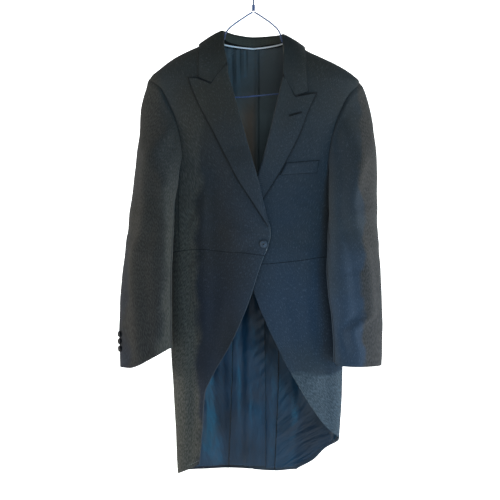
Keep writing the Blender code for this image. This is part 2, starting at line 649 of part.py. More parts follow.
def shoulder_ridge(side):
    """Marks along the shoulder seam, from above the neck to the armhole."""
    drops = np.linspace(BODY[0].drop, ARM_TOP[side], 10)[:-1]
    return tuple(Mark("side", 0.0, drop) for drop in drops)


def front_outer(side):
    """Shoulder ridge, armhole and side seam, from the neck to the waist."""
    marks = shoulder_ridge(side) + ARM_FRONT[side] + SIDE_SEAM[side][1:]
    return seam_gap(down_line(side, marks), side, -1)


def neck_front(side):
    """The neck edge of a front, from the shoulder to the roll."""
    start = share_at(side, ROLL[side][1])
    end = share_at(side, Mark("side", 0.0, NECK_DROP["side"]))
    pairs = sorted([(start, NECK_DROP["front"]), (end, NECK_DROP["side"])])
    return lambda share: np.interp(share, [p[0] for p in pairs], [p[1] for p in pairs])


def front_places(side):
    """A front's places, from the neck and shoulder down to the waist."""
    top, front_end, _, waist, _ = arm_rows(side)
    down = steps_between((NECK_DROP["side"], top, front_end, waist),
                         (SHOULDER_STEPS, FRONT_ARM_STEPS, SIDE_STEPS))
    across = np.linspace(0, 1, FRONT_ACROSS + 1)
    return grid(front_inner(side), front_outer(side), neck_front(side),
                moved(waist_line(side), -GAP / 2), across, down)


def make_front(side, wool):
    """A front, from the shoulder to the waist seam."""
    share, drop = front_places(side)
    lift = front_lift(side, share, drop)
    wall("front_" + side_name(side), skin(share, drop, lift), skin(share, drop, lift - WOOL), wool)


def make_side_body(side, wool):
    """The narrow piece under the arm, between the front and the back."""
    inner = seam_gap(down_line(side, SIDE_SEAM[side]), side, 1)
    outer = seam_gap(down_line(side, BACK_SEAM[side]), side, -1)
    across = np.linspace(0, 1, BASE_STEPS + 1)
    down = np.linspace(0, 1, SIDE_STEPS + 1)
    share, drop = grid(inner, outer, cross_line(side, ARM_BASE[side]),
                       moved(waist_line(side), -GAP / 2), across, down)
    wall("side_body_" + side_name(side), skin(share, drop), skin(share, drop, -WOOL), wool)


def skirt_places(side, hem_up):
    """A skirt's places, from the waist seam to the hem."""
    outer = seam_gap(down_line(side, BACK_SEAM[side]), side, -1)
    across = np.linspace(0, 1, SKIRT_ACROSS + 1)
    top, bottom = moved(waist_line(side), SEAM / 2), cross_line(side, HEM[side])
    share, drop = grid(front_inner(side), outer, top, bottom, across, np.array(SKIRT_DOWN))
    return raised(share, drop, hem_up)


def raised(share, drop, hem_up):
    """A grid of places with its last row drawn up from the hem."""
    drop = drop.copy()
    drop[-1] -= hem_up
    return share, drop


def make_skirt(side, wool):
    """A skirt, from the cutaway edge round the side to the tail's seam."""
    share, drop = skirt_places(side, 0.0)
    lift = front_lift(side, share, drop)
    wall("skirt_" + side_name(side), skin(share, drop, lift), skin(share, drop, lift - WOOL), wool)


def back_inner(side):
    """The centre back seam, then the vent's edge."""
    if side == LEFT:
        return lambda drop: 1 - 0.5 * SEAM / half_girth(drop)
    drops, reach = zip(*VENT)
    return lambda drop: -1 + (0.5 * SEAM - smooth(drops, reach, drop)) / half_girth(drop)


def back_outer(side):
    """Shoulder ridge, armhole and back seam, then the tail's seam to the hem."""
    marks = shoulder_ridge(side) + ARM_BACK[side] + BACK_SEAM[side][1:]
    return seam_gap(down_line(side, marks), side, 1)


def neck_back(side):
    """The neck edge of the back, from the shoulder to the centre."""
    end = share_at(side, Mark("side", 0.0, NECK_DROP["side"]))
    pairs = sorted([(float(side), NECK_DROP["back"]), (end, NECK_DROP["side"])])
    return lambda share: np.interp(share, [p[0] for p in pairs], [p[1] for p in pairs])


def back_places(side):
    """A back's places, from the neck and shoulder down to the end of its tail."""
    top, _, back_end, _, waist = arm_rows(side)
    hem = HEM[side][-2].drop
    down = steps_between((NECK_DROP["side"], top, back_end, waist, hem),
                         (SHOULDER_STEPS, BACK_ARM_STEPS, SIDE_STEPS, TAIL_STEPS))
    across = np.linspace(0, 1, BACK_ACROSS + 1)
    return grid(back_inner(side), back_outer(side), neck_back(side),
                cross_line(side, HEM[side]), across, down)


def make_back(side, wool):
    """A back with its tail, in one piece."""
    share, drop = back_places(side)
    tuck = vent_tuck(share, drop) if side == RIGHT else 0.0
    wall("back_" + side_name(side), skin(share, drop, tuck), skin(share, drop, tuck - WOOL), wool)


def make_lapel(side, wool):
    """The turned lapel: it rolls over the front's edge and lies on the front."""
    roll = down_line(side, ROLL[side])
    edge = down_line(side, LAPEL_EDGE[side])
    end = LAPEL_END[side]
    share, drop = grid(roll, edge, straight_line(side, LAPEL_TOP[side]), level(end),
                       np.array(LAPEL_ACROSS), np.linspace(0, 1, LAPEL_DOWN + 1))
    far = np.abs(share - roll(drop)) * half_girth(drop)
    rolled = 1 - ease((drop - end) / ROLL_FADE + 1)
    swell = LAPEL_SWELL * np.exp(-far / SWELL_REACH) * rolled
    dip = (LIE + swell + ROLL_DIP) * np.clip(1 - far / ROLL_WIDTH, 0, 1) ** 2 * rolled
    lift = front_lift(side, share, drop) + LIE + swell - dip
    wall("lapel_" + side_name(side), skin(share, drop, lift), skin(share, drop, lift - WOOL), wool)


def sleeve_value(side, column, drop):
    """One column of a sleeve's table at any drop."""
    rows = SLEEVE[side]
    return smooth([row.drop for row in rows], [getattr(row, column) for row in rows], drop)


def tube(side, angle, drop):
    """Points of a sleeve's hanging tube: angle 0 is outermost and 90 degrees the front."""
    outer, inner = sleeve_value(side, "outer", drop), sleeve_value(side, "inner", drop)
    reach = (outer - inner) / 2
    x = (outer + inner) / 2 + reach * np.cos(angle)
    middle, depth = sleeve_value(side, "middle", drop), sleeve_value(side, "depth", drop)
    y = middle - depth * np.sin(angle) + SLEEVE_SKEW * reach * np.cos(angle)
    return np.stack([side * x, y, -drop], axis=-1)


def armhole(side):
    """The armhole's shared points, from the side seam up the front, down the back and under."""
    top, front_end, back_end, _, _ = arm_rows(side)
    front, back = down_line(side, ARM_FRONT[side]), down_line(side, ARM_BACK[side])
    front_drops = np.linspace(front_end, top, FRONT_ARM_STEPS + 1)
    back_drops = np.linspace(top, back_end, BACK_ARM_STEPS + 1)
    inner, outer = down_line(side, SIDE_SEAM[side]), down_line(side, BACK_SEAM[side])
    base_share, base_drop = grid(inner, outer, cross_line(side, ARM_BASE[side]),
                                 moved(waist_line(side), 0.0),
                                 np.linspace(1, 0, BASE_STEPS + 1), np.array([0.0, 1.0]))
    upper = (np.concatenate([front(front_drops), back(back_drops)[1:]]),
             np.concatenate([front_drops, back_drops[1:]]))
    return upper, (base_share[0], base_drop[0])


def kept_off(points, gap):
    """Sleeve points moved out where they would come nearer the body than the gap."""
    flat, gap = points.reshape(-1, 3), np.broadcast_to(gap, points.shape[:-1]).ravel()
    drop = -flat[:, 2]
    width = np.where(flat[:, 0] > 0, section("left", drop), section("right", drop)) + gap
    depth = np.where(flat[:, 1] < 0, section("front", drop), section("back", drop)) + gap
    power = section("square", drop)
    size = (np.abs(flat[:, 0] / width) ** power + np.abs(flat[:, 1] / depth) ** power)
    grow = 1 / np.minimum(size ** (1 / power), 1.0)
    return (flat * np.stack([grow, grow, np.ones(len(grow))], axis=1)).reshape(points.shape)


def sleeve_points(side, share, start, top_angle, cuff_angle, trim=0.0):
    """A sleeve piece's outer points, from the armhole down to the cuff."""
    down = np.array(SLEEVE_DOWN)[:, None]
    angle = top_angle + (cuff_angle - top_angle) * ease(down) + trim
    near_cuff = np.abs(tube(side, cuff_angle, np.full(len(share), CUFF_LEVEL))[:, 0])
    reach, cuff_drop = zip(*CUFF[side])
    end = smooth(reach, cuff_drop, near_cuff)
    drop = start + down * (end - start)
    seam_drop = np.broadcast_to(start, drop.shape)
    low = ease((start - BASE_FROM) / BASE_RUN)
    seam = skin(share, start, HEAD_LIFT + BASE_LIFT * low)
    offset = seam - tube(side, top_angle, start)
    weight = 1 - ease((drop - seam_drop) / SLEEVE_BLEND)
    points = tube(side, angle, drop) + weight[:, :, None] * offset
    near = ease((drop - seam_drop) / CLEAR_RUN)
    return kept_off(points, SLEEVE_CLEAR * near + HEAD_CLEAR * (1 - near))


def make_sleeve(side, wool):
    """The top sleeve over the arm and the under sleeve next to the body."""
    (upper_share, upper_drop), (base_share, base_drop) = armhole(side)
    back_top = BACK_SEAM_ANGLE_TOP
    front_angles = np.linspace(FRONT_SEAM_ANGLE, 0, FRONT_ARM_STEPS + 1)
    back_angles = np.linspace(0, back_top, BACK_ARM_STEPS + 1)
    top_angle = np.concatenate([front_angles, back_angles[1:]])
    back_cuff = BACK_SEAM_ANGLE_CUFF[side]
    cuff_angle = np.linspace(FRONT_SEAM_ANGLE, back_cuff, len(top_angle))
    under_top = np.linspace(back_top, FRONT_SEAM_ANGLE - 2 * PI, len(base_share))
    under_cuff = np.linspace(back_cuff, FRONT_SEAM_ANGLE - 2 * PI, len(base_share))
    pieces = (("sleeve_top_", upper_share, upper_drop, top_angle, cuff_angle),
              ("sleeve_under_", base_share, base_drop, under_top, under_cuff))
    inset = [(name, *inside_hole(side, share, start), high, low)
             for name, share, start, high, low in pieces]
    ring = np.concatenate([sleeve_points(side, *piece[1:])[:, :-1] for piece in inset], axis=1)
    normals = ring_normals(ring, ring - sleeve_middle(side, -ring[:, :, 2]))
    first = 0
    for name, share, start, high, low in inset:
        trim = np.zeros(len(share))
        trim[[0, -1]] = SLEEVE_TRIM * np.sign(high[-1] - high[0]) * np.array([1, -1])
        outer = sleeve_points(side, share, start, high, low, trim)
        columns = (first + np.arange(len(share))) % ring.shape[1]
        wall(name + side_name(side), outer, outer - WOOL * normals[:, columns], wool)
        first += len(share) - 1


def inside_hole(side, share, drop):
    """Places round the armhole drawn a little inside the hole."""
    middle = share_at(side, Mark("side", 0.0, HOLE_MIDDLE))
    aside, below = share - middle, drop - HOLE_MIDDLE
    shrink = 1 - HOLE_INSET / np.hypot(aside * ABOUT_HALF_GIRTH, below)
    return middle + aside * shrink, HOLE_MIDDLE + below * shrink


def sleeve_middle(side, drop):
    """The middle line of a sleeve."""
    drop = np.maximum(drop, BASE_FROM)
    x = (sleeve_value(side, "outer", drop) + sleeve_value(side, "inner", drop)) / 2
    low = ease((drop - BASE_FROM) / BASE_RUN)
    return np.stack([side * x, sleeve_value(side, "middle", drop) * low, -drop], axis=-1)


def collar_point(place, side, lift):
    """A collar mark: a point in the air, or one laid on the front."""
    if place[0] == "lay":
        share = share_at(side, Mark("front", place[1], place[2]))
        return skin(np.array([share]), np.array([place[2]]), lift)[0]
    return np.array([place[0], place[1], -place[2]])


def collar_lines():
    """Fold, middle and edge of the collar's leaf, from the right front round to the left."""
    lines = {"fold": [], "middle": [], "edge": []}
    rows = [(RIGHT, row) for row in COLLAR[RIGHT]] + [(LEFT, row) for row in COLLAR[LEFT][-2::-1]]
    for side, row in rows:
        for name, line in lines.items():
            line.append(collar_point(getattr(row, name), side, COLLAR_LIFT[name]))
    return {name: np.array(line) for name, line in lines.items()}


def along_line(points, at):
    """A smooth line through points, read at stations."""
    stations = np.arange(len(points))
    return np.stack([smooth(stations, points[:, k], at) for k in range(3)], axis=-1)


def collar_leaf(stations, shares):
    """Outer points of the leaf at stations along it and shares from fold to edge."""
    lines = collar_lines()
    fold, middle, edge = (along_line(lines[name], stations) for name in ("fold", "middle", "edge"))
    s = np.asarray(shares)[:, None, None]
    bowed = fold * (1 - s) * (1 - 2 * s) + middle * 4 * s * (1 - s) + edge * s * (2 * s - 1)
    first = fold + (middle - fold) * np.minimum(2 * s, 1)
    straight = first + (edge - middle) * np.maximum(2 * s - 1, 0)
    last = 2 * (len(COLLAR[RIGHT]) - 1)
    ends = ease(1 - np.minimum(stations, last - stations))[None, :, None]
    return straight * ends + bowed * (1 - ends)


def make_collar(wool):
    """The leaf that falls over the neck seam, and the stand inside it."""
    last = 2 * (len(COLLAR[RIGHT]) - 1)
    leaf = collar_leaf(np.linspace(0, last, LEAF_STEPS + 1), LEAF_DOWN)
    wall("collar_leaf", leaf, leaf - WOOL * grid_normals(leaf, leaf - UNDER_COLLAR), wool)

    stations = np.linspace(STAND_FROM, last - STAND_FROM, STAND_STEPS + 1)
    fold = along_line(collar_lines()["fold"], stations)
    inward = -fold * np.array([1, 1, 0])
    inward /= np.linalg.norm(inward, axis=1)[:, None]
    top = fold + inward * (WOOL + GAP) + np.array([0, 0, -STAND_DROP])
    seam = stand_foot(stations, last)
    outer = top + (seam - top) * np.linspace(0, 1, 3)[:, None, None]
    wall("collar_stand", outer, outer + WOOL * inward[None], wool)


def stand_foot(stations, last):
    """The neck seam under the collar stand, just above the back's neck edge."""
    rows = COLLAR[RIGHT] + COLLAR[LEFT][-2::-1]
    foot = along_line(collar_lines()["fold"], stations)
    inward = -foot * np.array([1, 1, 0]) / np.linalg.norm(foot[:, :2], axis=1)[:, None]
    near_back = ease((0.5 - np.abs(stations / last * 2 - 1)) * 3)[:, None]
    foot = foot + inward * (WOOL + GAP + STAND_LEAN * near_back)
    foot[:, 2] = -smooth(np.arange(len(rows)), [row.foot for row in rows], stations)
    return foot


def make_welt(side, wool):
    """The breast pocket's welt, laid on the left front beside the lapel."""
    corners = [(share_at(side, mark), mark.drop) for mark in WELT_TOP + WELT_BOTTOM]
    (a, b), (c, d), (e, f), (g, h) = corners
    u, v = np.linspace(0, 1, 5)[None, :], np.linspace(0, 1, 3)[:, None]
    share = (a + (c - a) * u) * (1 - v) + (e + (g - e) * u) * v
    drop = (b + (d - b) * u) * (1 - v) + (f + (h - f) * u) * v
    outer, inner = skin(share, drop, GAP + WELT_THICK), skin(share, drop, GAP)
    wall("breast_welt", outer, inner, wool)


def pleat_height(share, drop):
    """How far the back lining's gathers and centre pleat stand out into the coat."""
    across = bare(share.ravel(), drop.ravel())[0][:, 0].reshape(share.shape)
    height = np.zeros(share.shape)
    for pleat in PLEATS:
        along = (drop - pleat.top) / (pleat.bottom - pleat.top)
        place = pleat.start + (pleat.end - pleat.start) * along
        shape = np.exp(-(((across - place) / pleat.width) ** 2))
        height += pleat.height * shape * ease(along * 6 + 0.5) * ease((1 - along) * 1.5)
    return height


def finer(values, at):
    """A grid read at columns between its own, straight from one to the next."""
    k = np.minimum(at.astype(int), values.shape[1] - 2)
    t = (at - k).reshape(1, -1, *[1] * (values.ndim - 2))
    return values[:, k] * (1 - t) + values[:, k + 1] * t


def make_back_lining(satin):
    """One lining for both backs, from the neck piping and the shoulders to the waist."""
    end = SHOULDER_STEPS + BACK_ARM_STEPS + SIDE_STEPS + 1
    (share, drop), (far_share, far_drop) = back_places(RIGHT), back_places(LEFT)
    share = np.concatenate([share[:end, :0:-1], far_share[:end, 1:] - 2], axis=1)
    drop = np.concatenate([drop[:end, :0:-1], far_drop[:end, 1:]], axis=1)
    drop[0] += LINING_BELOW_SEAM
    drop[-1] -= SEAM
    inward = skin(share, drop, -1.0) - skin(share, drop, 0.0)
    base = skin(share, drop, -BACK_LINING_LIE)
    last = share.shape[1] - 1
    close = np.linspace(last / 2 - 2, last / 2 + 2, PLEAT_STEPS + 1)
    at = np.concatenate([np.arange(last // 2 - 2), close, np.arange(last // 2 + 3, last + 1)])
    at[0], at[-1] = LINING_INSET, last - LINING_INSET
    base, inward = finer(base, at), finer(inward, at)
    outer = base + inward * pleat_height(finer(share, at), finer(drop, at))[:, :, None]
    wall("lining_back", outer, outer + inward * SATIN, satin)


def make_skirt_lining(side, satin):
    """The lining of a skirt, from the tail's seam round the side to the front's facing."""
    share, drop = skirt_places(side, LINING_ABOVE_HEM)
    share, drop = share[:, FACING_STEPS:], drop[:, FACING_STEPS:]
    drop[0] += GAP
    lift = front_lift(side, share, drop) - LINING_LIE
    outer = skin(share, drop, lift)
    wall("lining_skirt_" + side_name(side), outer, skin(share, drop, lift - SATIN), satin)


def make_tail_lining(side, satin):
    """The lining of a tail, from the vent to the tail's seam."""
    share, drop = raised(*back_places(side), LINING_ABOVE_HEM)
    start = SHOULDER_STEPS + BACK_ARM_STEPS + SIDE_STEPS
    share, drop = share[start:], drop[start:]
    drop[0] += GAP
    lift = (vent_tuck(share, drop) if side == RIGHT else 0.0) - LINING_LIE
    outer = skin(share, drop, lift)
    wall("lining_tail_" + side_name(side), outer, skin(share, drop, lift - SATIN), satin)


def neck_seam(at):
    """Points on the inside of the back's neck seam: at runs from -1, right, to 1, left."""
    side = np.where(at < 0, RIGHT, LEFT)
    points = []
    for one, way in zip(np.abs(at), side):
        ridge = share_at(way, Mark("side", 0.0, NECK_DROP["side"]))
        share = way + (ridge - way) * one
        drop = NECK_DROP["back"] + (NECK_DROP["side"] - NECK_DROP["back"]) * one
        points.append(skin(np.array([share]), np.array([drop]), -PIPING_IN)[0])
    return np.array(points)


def make_piping(satin):
    """The satin cord sewn along the neck seam, where the lining meets the collar stand."""
    points = neck_seam(np.linspace(-PIPING_REACH, PIPING_REACH, PIPING_STEPS + 1))
    points[:, 2] -= PIPING_BELOW
    wire("neck_piping", points, PIPING_RADIUS, satin)


def turned(name, profile, centre, axis, surface, sides=14):
    """A round piece turned about an axis, from its back at the centre to its front."""
    axis = np.asarray(axis, float) / np.linalg.norm(axis)
    aside = np.cross(axis, [0.0, 0.0, 1.0])
    if np.linalg.norm(aside) < 0.1:
        aside = np.cross(axis, [1.0, 0.0, 0.0])
    aside /= np.linalg.norm(aside)
    upward = np.cross(axis, aside)
    turns = np.linspace(0, 2 * PI, sides, endpoint=False)
    points, faces = [np.asarray(centre, float)], []
    for radius, height in profile:
        for turn in turns:
            across = radius * (math.cos(turn) * aside + math.sin(turn) * upward)
            points.append(centre + across + height * axis)
    top = profile[-1][1]
    points.append(centre + axis * top)
    last = len(points) - 1
    for k in range(sides):
        n = (k + 1) % sides
        faces.append((0, 1 + n, 1 + k))
        for ring in range(len(profile) - 1):
            low, high = 1 + ring * sides, 1 + (ring + 1) * sides
            faces.append((low + k, low + n, high + n, high + k))
        low = 1 + (len(profile) - 1) * sides
        faces.append((low + k, low + n, last))
    return add_mesh(name, points, faces, surface)


def button_profile(radius, height, dished):
    """A button's side: a flat back, a round rim, and a face that is dished or domed."""
    face = 0.86 if dished else 1.0
    return ((radius * 0.80, 0.0), (radius, height * 0.35), (radius * 0.97, height * 0.62),
            (radius * 0.80, height * 0.92), (radius * 0.45, height * face))


def skin_normal(share, drop, lift):
    """A place on the body and the direction straight out of it."""
    here = skin(np.array([share]), np.array([drop]), lift)[0]
    out = skin(np.array([share]), np.array([drop]), lift + 0.01)[0]
    return here, (out - here) / np.linalg.norm(out - here)


def make_front_button(wool):
    """The covered button on the right front, at the waist."""
    x, drop = FRONT_BUTTON
    share = share_at(RIGHT, Mark("front", x, drop))
    shares, drops = share + np.array([[0, 0.02, 0]]), drop + np.array([[0, 0, 0.01]])
    place, beside, under = skin(shares, drops, lap_lift(shares, drops))[0]
    axis = np.cross(beside - place, place - under)
    axis *= -np.sign(axis[1]) / np.linalg.norm(axis)
    place = place + axis * BUTTON_SHANK
    profile = button_profile(FRONT_BUTTON_RADIUS, FRONT_BUTTON_HEIGHT, False)
    turned("button_front", profile, place, axis, wool, 18)


def make_cuff_buttons(side, horn):
    """The row of buttons beside the slit at the back of each cuff."""
    turns = CUFF_BUTTON_ANGLE[side] + np.array([0, 0.05, 0])
    for number, drop in enumerate(CUFF_BUTTON_DROPS[side], 1):
        near, ahead, above = tube(side, turns, drop - np.array([0, 0, 0.01]))
        axis = np.cross(ahead - near, above - near)
        axis *= np.sign(axis[0] * side) / np.linalg.norm(axis)
        profile = button_profile(CUFF_BUTTON_RADIUS, CUFF_BUTTON_HEIGHT, True)
        name = "button_cuff_" + side_name(side) + "_" + str(number)
        turned(name, profile, near + axis * GAP, axis, horn, 10)


def make_tail_buttons(wool):
    """The two covered buttons at the back waist, where the tails start."""
    for side in (RIGHT, LEFT):
        share = share_at(side, Mark("back", side * TAIL_BUTTON_X, TAIL_BUTTON_DROP))
        place, axis = skin_normal(share, TAIL_BUTTON_DROP, 2 * GAP)
        profile = button_profile(FRONT_BUTTON_RADIUS, FRONT_BUTTON_HEIGHT, False)
        turned("button_tail_" + side_name(side), profile, place, axis, wool)


def shoulder_wire(side, reach):
    """The middle of the hanger's wire under the shoulder seam, at a distance to the side."""
    column = "right" if side == RIGHT else "left"
    drop = smooth([getattr(row, column) for row in BODY[:10]], [row.drop for row in BODY[:10]],
                  reach)
    ridge = np.array([share_at(side, Mark("side", 0.0, float(d))) for d in drop])
    return skin(ridge, drop, -WIRE_LIFT)


def make_hanger(coated):
    """Hook, twisted neck, two arms and a bar, all of one coated wire."""
    turns = np.radians(np.linspace(HOOK_TIP_ANGLE, HOOK_BACK_ANGLE, HOOK_STEPS + 1))
    middle = HOOK_RADIUS + WIRE
    route = [(middle * math.cos(t), 0.0, -HOOK_RADIUS + middle * math.sin(t)) for t in turns]
    shank = [(x, 0.0, -drop) for x, drop in HOOK_NECK]
    wire("hanger_hook", route + shank, WIRE, coated)
    profile = ((TWIST_RADIUS, 0.0), (TWIST_RADIUS, TWIST_LENGTH))
    turned("hanger_twist", profile, np.array([0.0, 0.0, -TWIST_DROP]), (0, 0, 1), coated, 10)
    for side in (RIGHT, LEFT):
        start = [(bend.x, 0.0, -bend.drop) for bend in ARM[side]]
        under = shoulder_wire(side, np.linspace(ARM_START, ARM_REACH, ARM_STEPS + 1))
        x, y, z = under[-1]
        bar_end = next(bend for bend in BAR if bend.x == side * ARM_REACH)
        out = side * np.array(CORNER_OUT)
        corner = [(x + out[0], y, z - CORNER_DROP),
                  (x + out[1], y, (z - bar_end.drop) / 2),
                  (x + out[2], y, CORNER_DROP - bar_end.drop),
                  (bar_end.x - side * CORNER_BACK, 0.0, -bar_end.drop)]
        points = start + [tuple(p) for p in under] + corner
        wire("hanger_arm_" + side_name(side), points, WIRE, coated)
    inset = ARM_REACH - BAR_INSET
    across = np.linspace(-inset, inset, BAR_STEPS + 1)
    drops = smooth([bend.x for bend in BAR], [bend.drop for bend in BAR], across)
    wire("hanger_bar", [(x, 0.0, -drop) for x, drop in zip(across, drops)], WIRE, coated)


def wire(name, points, radius, surface):
    """A round wire or cord through points."""
    curve = bpy.data.curves.new(name, "CURVE")
    curve.dimensions = "3D"
    curve.bevel_depth = radius
    curve.bevel_resolution = 2
    curve.use_fill_caps = True
    spline = curve.splines.new("POLY")
    spline.points.add(len(points) - 1)
    for place, point in zip(spline.points, points):
        place.co = (*point, 1.0)
    curve.materials.append(surface)
    body = bpy.data.objects.new(name, curve)
    bpy.context.scene.collection.objects.link(body)
    return body


def main():
    """Makes every piece in an empty scene."""
    for old in list(bpy.data.objects):
        bpy.data.objects.remove(old, do_unlink=True)
    wool = material("charcoal_wool", (0.055, 0.062, 0.072), 0.85)
    satin = material("navy_satin", (0.020, 0.040, 0.065), 0.32)
    white = material("white_satin", (0.75, 0.76, 0.78), 0.35)
    horn = material("dark_horn", (0.012, 0.012, 0.014), 0.30)
    coated = material("blue_coating", (0.030, 0.060, 0.130), 0.30)
    for side in (RIGHT, LEFT):
        make_front(side, wool)
        make_side_body(side, wool)
        make_skirt(side, wool)
        make_back(side, wool)
        make_lapel(side, wool)
        make_sleeve(side, wool)
        make_skirt_lining(side, satin)
        make_tail_lining(side, satin)
        make_cuff_buttons(side, horn)
    make_collar(wool)
    make_welt(LEFT, wool)
    make_back_lining(satin)
    make_piping(white)
    make_front_button(wool)
    make_tail_buttons(wool)
    make_hanger(coated)


main()
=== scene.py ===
# %% [markdown]
# # A cutaway coat on a wire hanger
#
# A man's formal coat with one button: peaked lapels, a seam at the waist, fronts cut away in a
# curve, and two tails behind. It hangs on a wire hanger dipped in blue plastic. Real coats are cut
# flat and shaped with an iron, so nearly everything here is a thin sheet bent round one body shape.
# The body shape is a stack of level sections. A place on it is a share, 0 at the centre front and
# 1 at the centre back, and a drop below the rail. Each sewn piece is a net of such places.

# %% Frame
import math
from collections import namedtuple

import bpy
import numpy as np
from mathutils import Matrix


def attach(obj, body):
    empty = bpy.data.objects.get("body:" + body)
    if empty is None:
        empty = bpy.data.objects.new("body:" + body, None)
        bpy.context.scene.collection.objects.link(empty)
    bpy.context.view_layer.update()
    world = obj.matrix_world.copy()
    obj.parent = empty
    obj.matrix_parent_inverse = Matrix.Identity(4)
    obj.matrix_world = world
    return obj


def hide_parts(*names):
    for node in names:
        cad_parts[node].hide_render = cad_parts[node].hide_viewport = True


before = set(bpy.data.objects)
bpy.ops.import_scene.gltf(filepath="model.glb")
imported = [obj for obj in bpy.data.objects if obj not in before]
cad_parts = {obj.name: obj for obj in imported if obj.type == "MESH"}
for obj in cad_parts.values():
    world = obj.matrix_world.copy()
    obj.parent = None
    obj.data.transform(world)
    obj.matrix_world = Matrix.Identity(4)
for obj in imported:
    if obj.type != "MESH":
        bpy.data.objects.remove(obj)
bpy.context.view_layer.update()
scene = bpy.context.scene

# %% [markdown]
# ## How thick things are
#
# Suiting with its canvas is about 2 mm thick, and lining satin with its turnings 1 mm. Real layers
# touch. Here they lie a few tenths of a millimetre apart, so that no layer shows through another.

# %% Thickness
PI = math.pi
RIGHT, LEFT = -1, 1
FINE = 1.0
WOOL, SATIN = 0.0022, 0.0010
GAP, SEAM = 0.0003, 0.0004
LIE = WOOL + 3 * GAP
LINING_LIE, BACK_LINING_LIE, LINING_LOOSE = 0.0028, 0.0036, 0.0012
LINING_ABOVE_HEM, PUCKER = 0.007, 0.0007
PIPING_RADIUS, PIPING_IN = 0.0018, WOOL + GAP + 0.0022
PIPING_BELOW, PIPING_REACH = 0.0008, 0.86
print("a lapel lies", round(1000 * LIE, 1), "mm off the body")

# %% [markdown]
# ## The cut
#
# A tailor works from measures: how wide and deep the body is at each level, and where each seam
# runs. These tables are those measures, in metres, read off the photograph. Each row is a level, a
# chalk mark or a fold, so one value can be moved without touching the rest.

# %% Sections and folds
def rows_as(kind, *rows):
    """Rows of numbers as the named rows of a table."""
    return tuple(kind(*row) for row in rows)


# Level sections of the body: how far it reaches to each side, to the front and to the back
Section = namedtuple("Section", "drop right left front back square")
BODY = rows_as(
    Section,
    (0.1400, 0.068, 0.064, 0.003, 0.026, 2.10),
    (0.1475, 0.084, 0.078, 0.010, 0.036, 2.10),
    (0.1560, 0.102, 0.091, 0.018, 0.045, 2.10),
    (0.1655, 0.122, 0.105, 0.027, 0.0515, 2.15),
    (0.1800, 0.154, 0.128, 0.034, 0.0535, 2.20),
    (0.1920, 0.1775, 0.154, 0.0385, 0.055, 2.20),
    (0.2060, 0.1985, 0.184, 0.042, 0.056, 2.25),
    (0.2210, 0.217, 0.211, 0.045, 0.0565, 2.30),
    (0.2360, 0.2345, 0.232, 0.0475, 0.057, 2.30),
    (0.2480, 0.240, 0.243, 0.049, 0.0575, 2.30),
    (0.3000, 0.228, 0.234, 0.053, 0.059, 2.40),
    (0.4000, 0.213, 0.219, 0.0575, 0.060, 2.60),
    (0.4920, 0.204, 0.208, 0.0585, 0.058, 2.70),
    (0.5700, 0.197, 0.201, 0.0585, 0.054, 2.70),
    (0.6400, 0.191, 0.197, 0.0575, 0.0495, 2.70),
    (0.7500, 0.190, 0.202, 0.054, 0.051, 2.75),
    (0.8500, 0.1895, 0.206, 0.050, 0.053, 2.80),
    (0.9500, 0.184, 0.204, 0.046, 0.054, 2.80),
    (1.0500, 0.1785, 0.198, 0.041, 0.0545, 2.80),
    (1.1600, 0.173, 0.191, 0.038, 0.055, 2.80),
)
TURN = np.linspace(0.0, PI, 721)

# The body's largest soft folds: how far round from the centre front each starts and ends
Fold = namedtuple("Fold", "side top bottom start end width height")
FOLDS = rows_as(
    Fold,
    (RIGHT, 0.40, 1.16, 0.112, 0.104, 0.016, 0.0035),
    (RIGHT, 0.52, 1.16, 0.148, 0.142, 0.014, -0.0030),
    (RIGHT, 0.80, 1.18, 0.330, 0.325, 0.026, 0.0040),
    (RIGHT, 0.80, 1.18, 0.275, 0.280, 0.020, -0.0025),
    (LEFT, 0.55, 1.05, 0.128, 0.120, 0.020, 0.0025),
    (LEFT, 0.78, 1.12, 0.165, 0.170, 0.016, -0.0030),
    (LEFT, 0.80, 1.18, 0.330, 0.325, 0.026, 0.0040),
    (LEFT, 0.82, 1.18, 0.285, 0.280, 0.020, -0.0025),
)
print(len(BODY), "sections and", len(FOLDS), "folds")

# %% [markdown]
# ## Where the seams run
#
# A cutter chalks each seam on the cloth. A mark says which face of the body it is on, how far it is
# from the middle and how far below the rail. Seams that meet share their marks, so they stay sewn
# together when one of them moves.

# %% Seams and edges
Mark = namedtuple("Mark", "part x drop")


def on_front(*places):
    return tuple(Mark("front", *place) for place in places)


def at_side(*drops):
    return tuple(Mark("side", 0.0, drop) for drop in drops)


def on_back(*places):
    return tuple(Mark("back", *place) for place in places)


ROLL = {
    RIGHT: on_front((-0.0705, 0.15), (-0.0672, 0.1684), (-0.0588, 0.2102), (-0.0418, 0.2907),
        (-0.0181, 0.3769), (0.0066, 0.4625), (0.0278, 0.55), (0.0375, 0.588)),
    LEFT: on_front((0.0722, 0.15), (0.0665, 0.24), (0.0528, 0.2975), (0.0369, 0.3654),
        (0.0189, 0.4332), (0.0066, 0.4735), (-0.0125, 0.54), (-0.029, 0.598)),
}
EDGE = {
    RIGHT: ROLL[RIGHT] + on_front((0.0379, 0.6036), (0.0346, 0.6193), (0.0301, 0.635),
        (0.0234, 0.6484), (0.0077, 0.6933), (-0.0091, 0.7472), (-0.0494, 0.8418),
        (-0.0958, 0.9255), (-0.1099, 0.9596), (-0.1157, 1.0367), (-0.1233, 1.1213)),
    LEFT: ROLL[LEFT] + on_front((-0.0275, 0.625), (-0.0215, 0.65), (-0.0095, 0.69),
        (-0.0005, 0.7249), (0.0538, 0.8531), (0.1115, 0.9596), (0.1495, 1.0166), (0.1764, 1.047))
        + at_side(1.0697) + on_back((0.1693, 1.096), (0.14, 1.126), (0.1017, 1.149)),
}
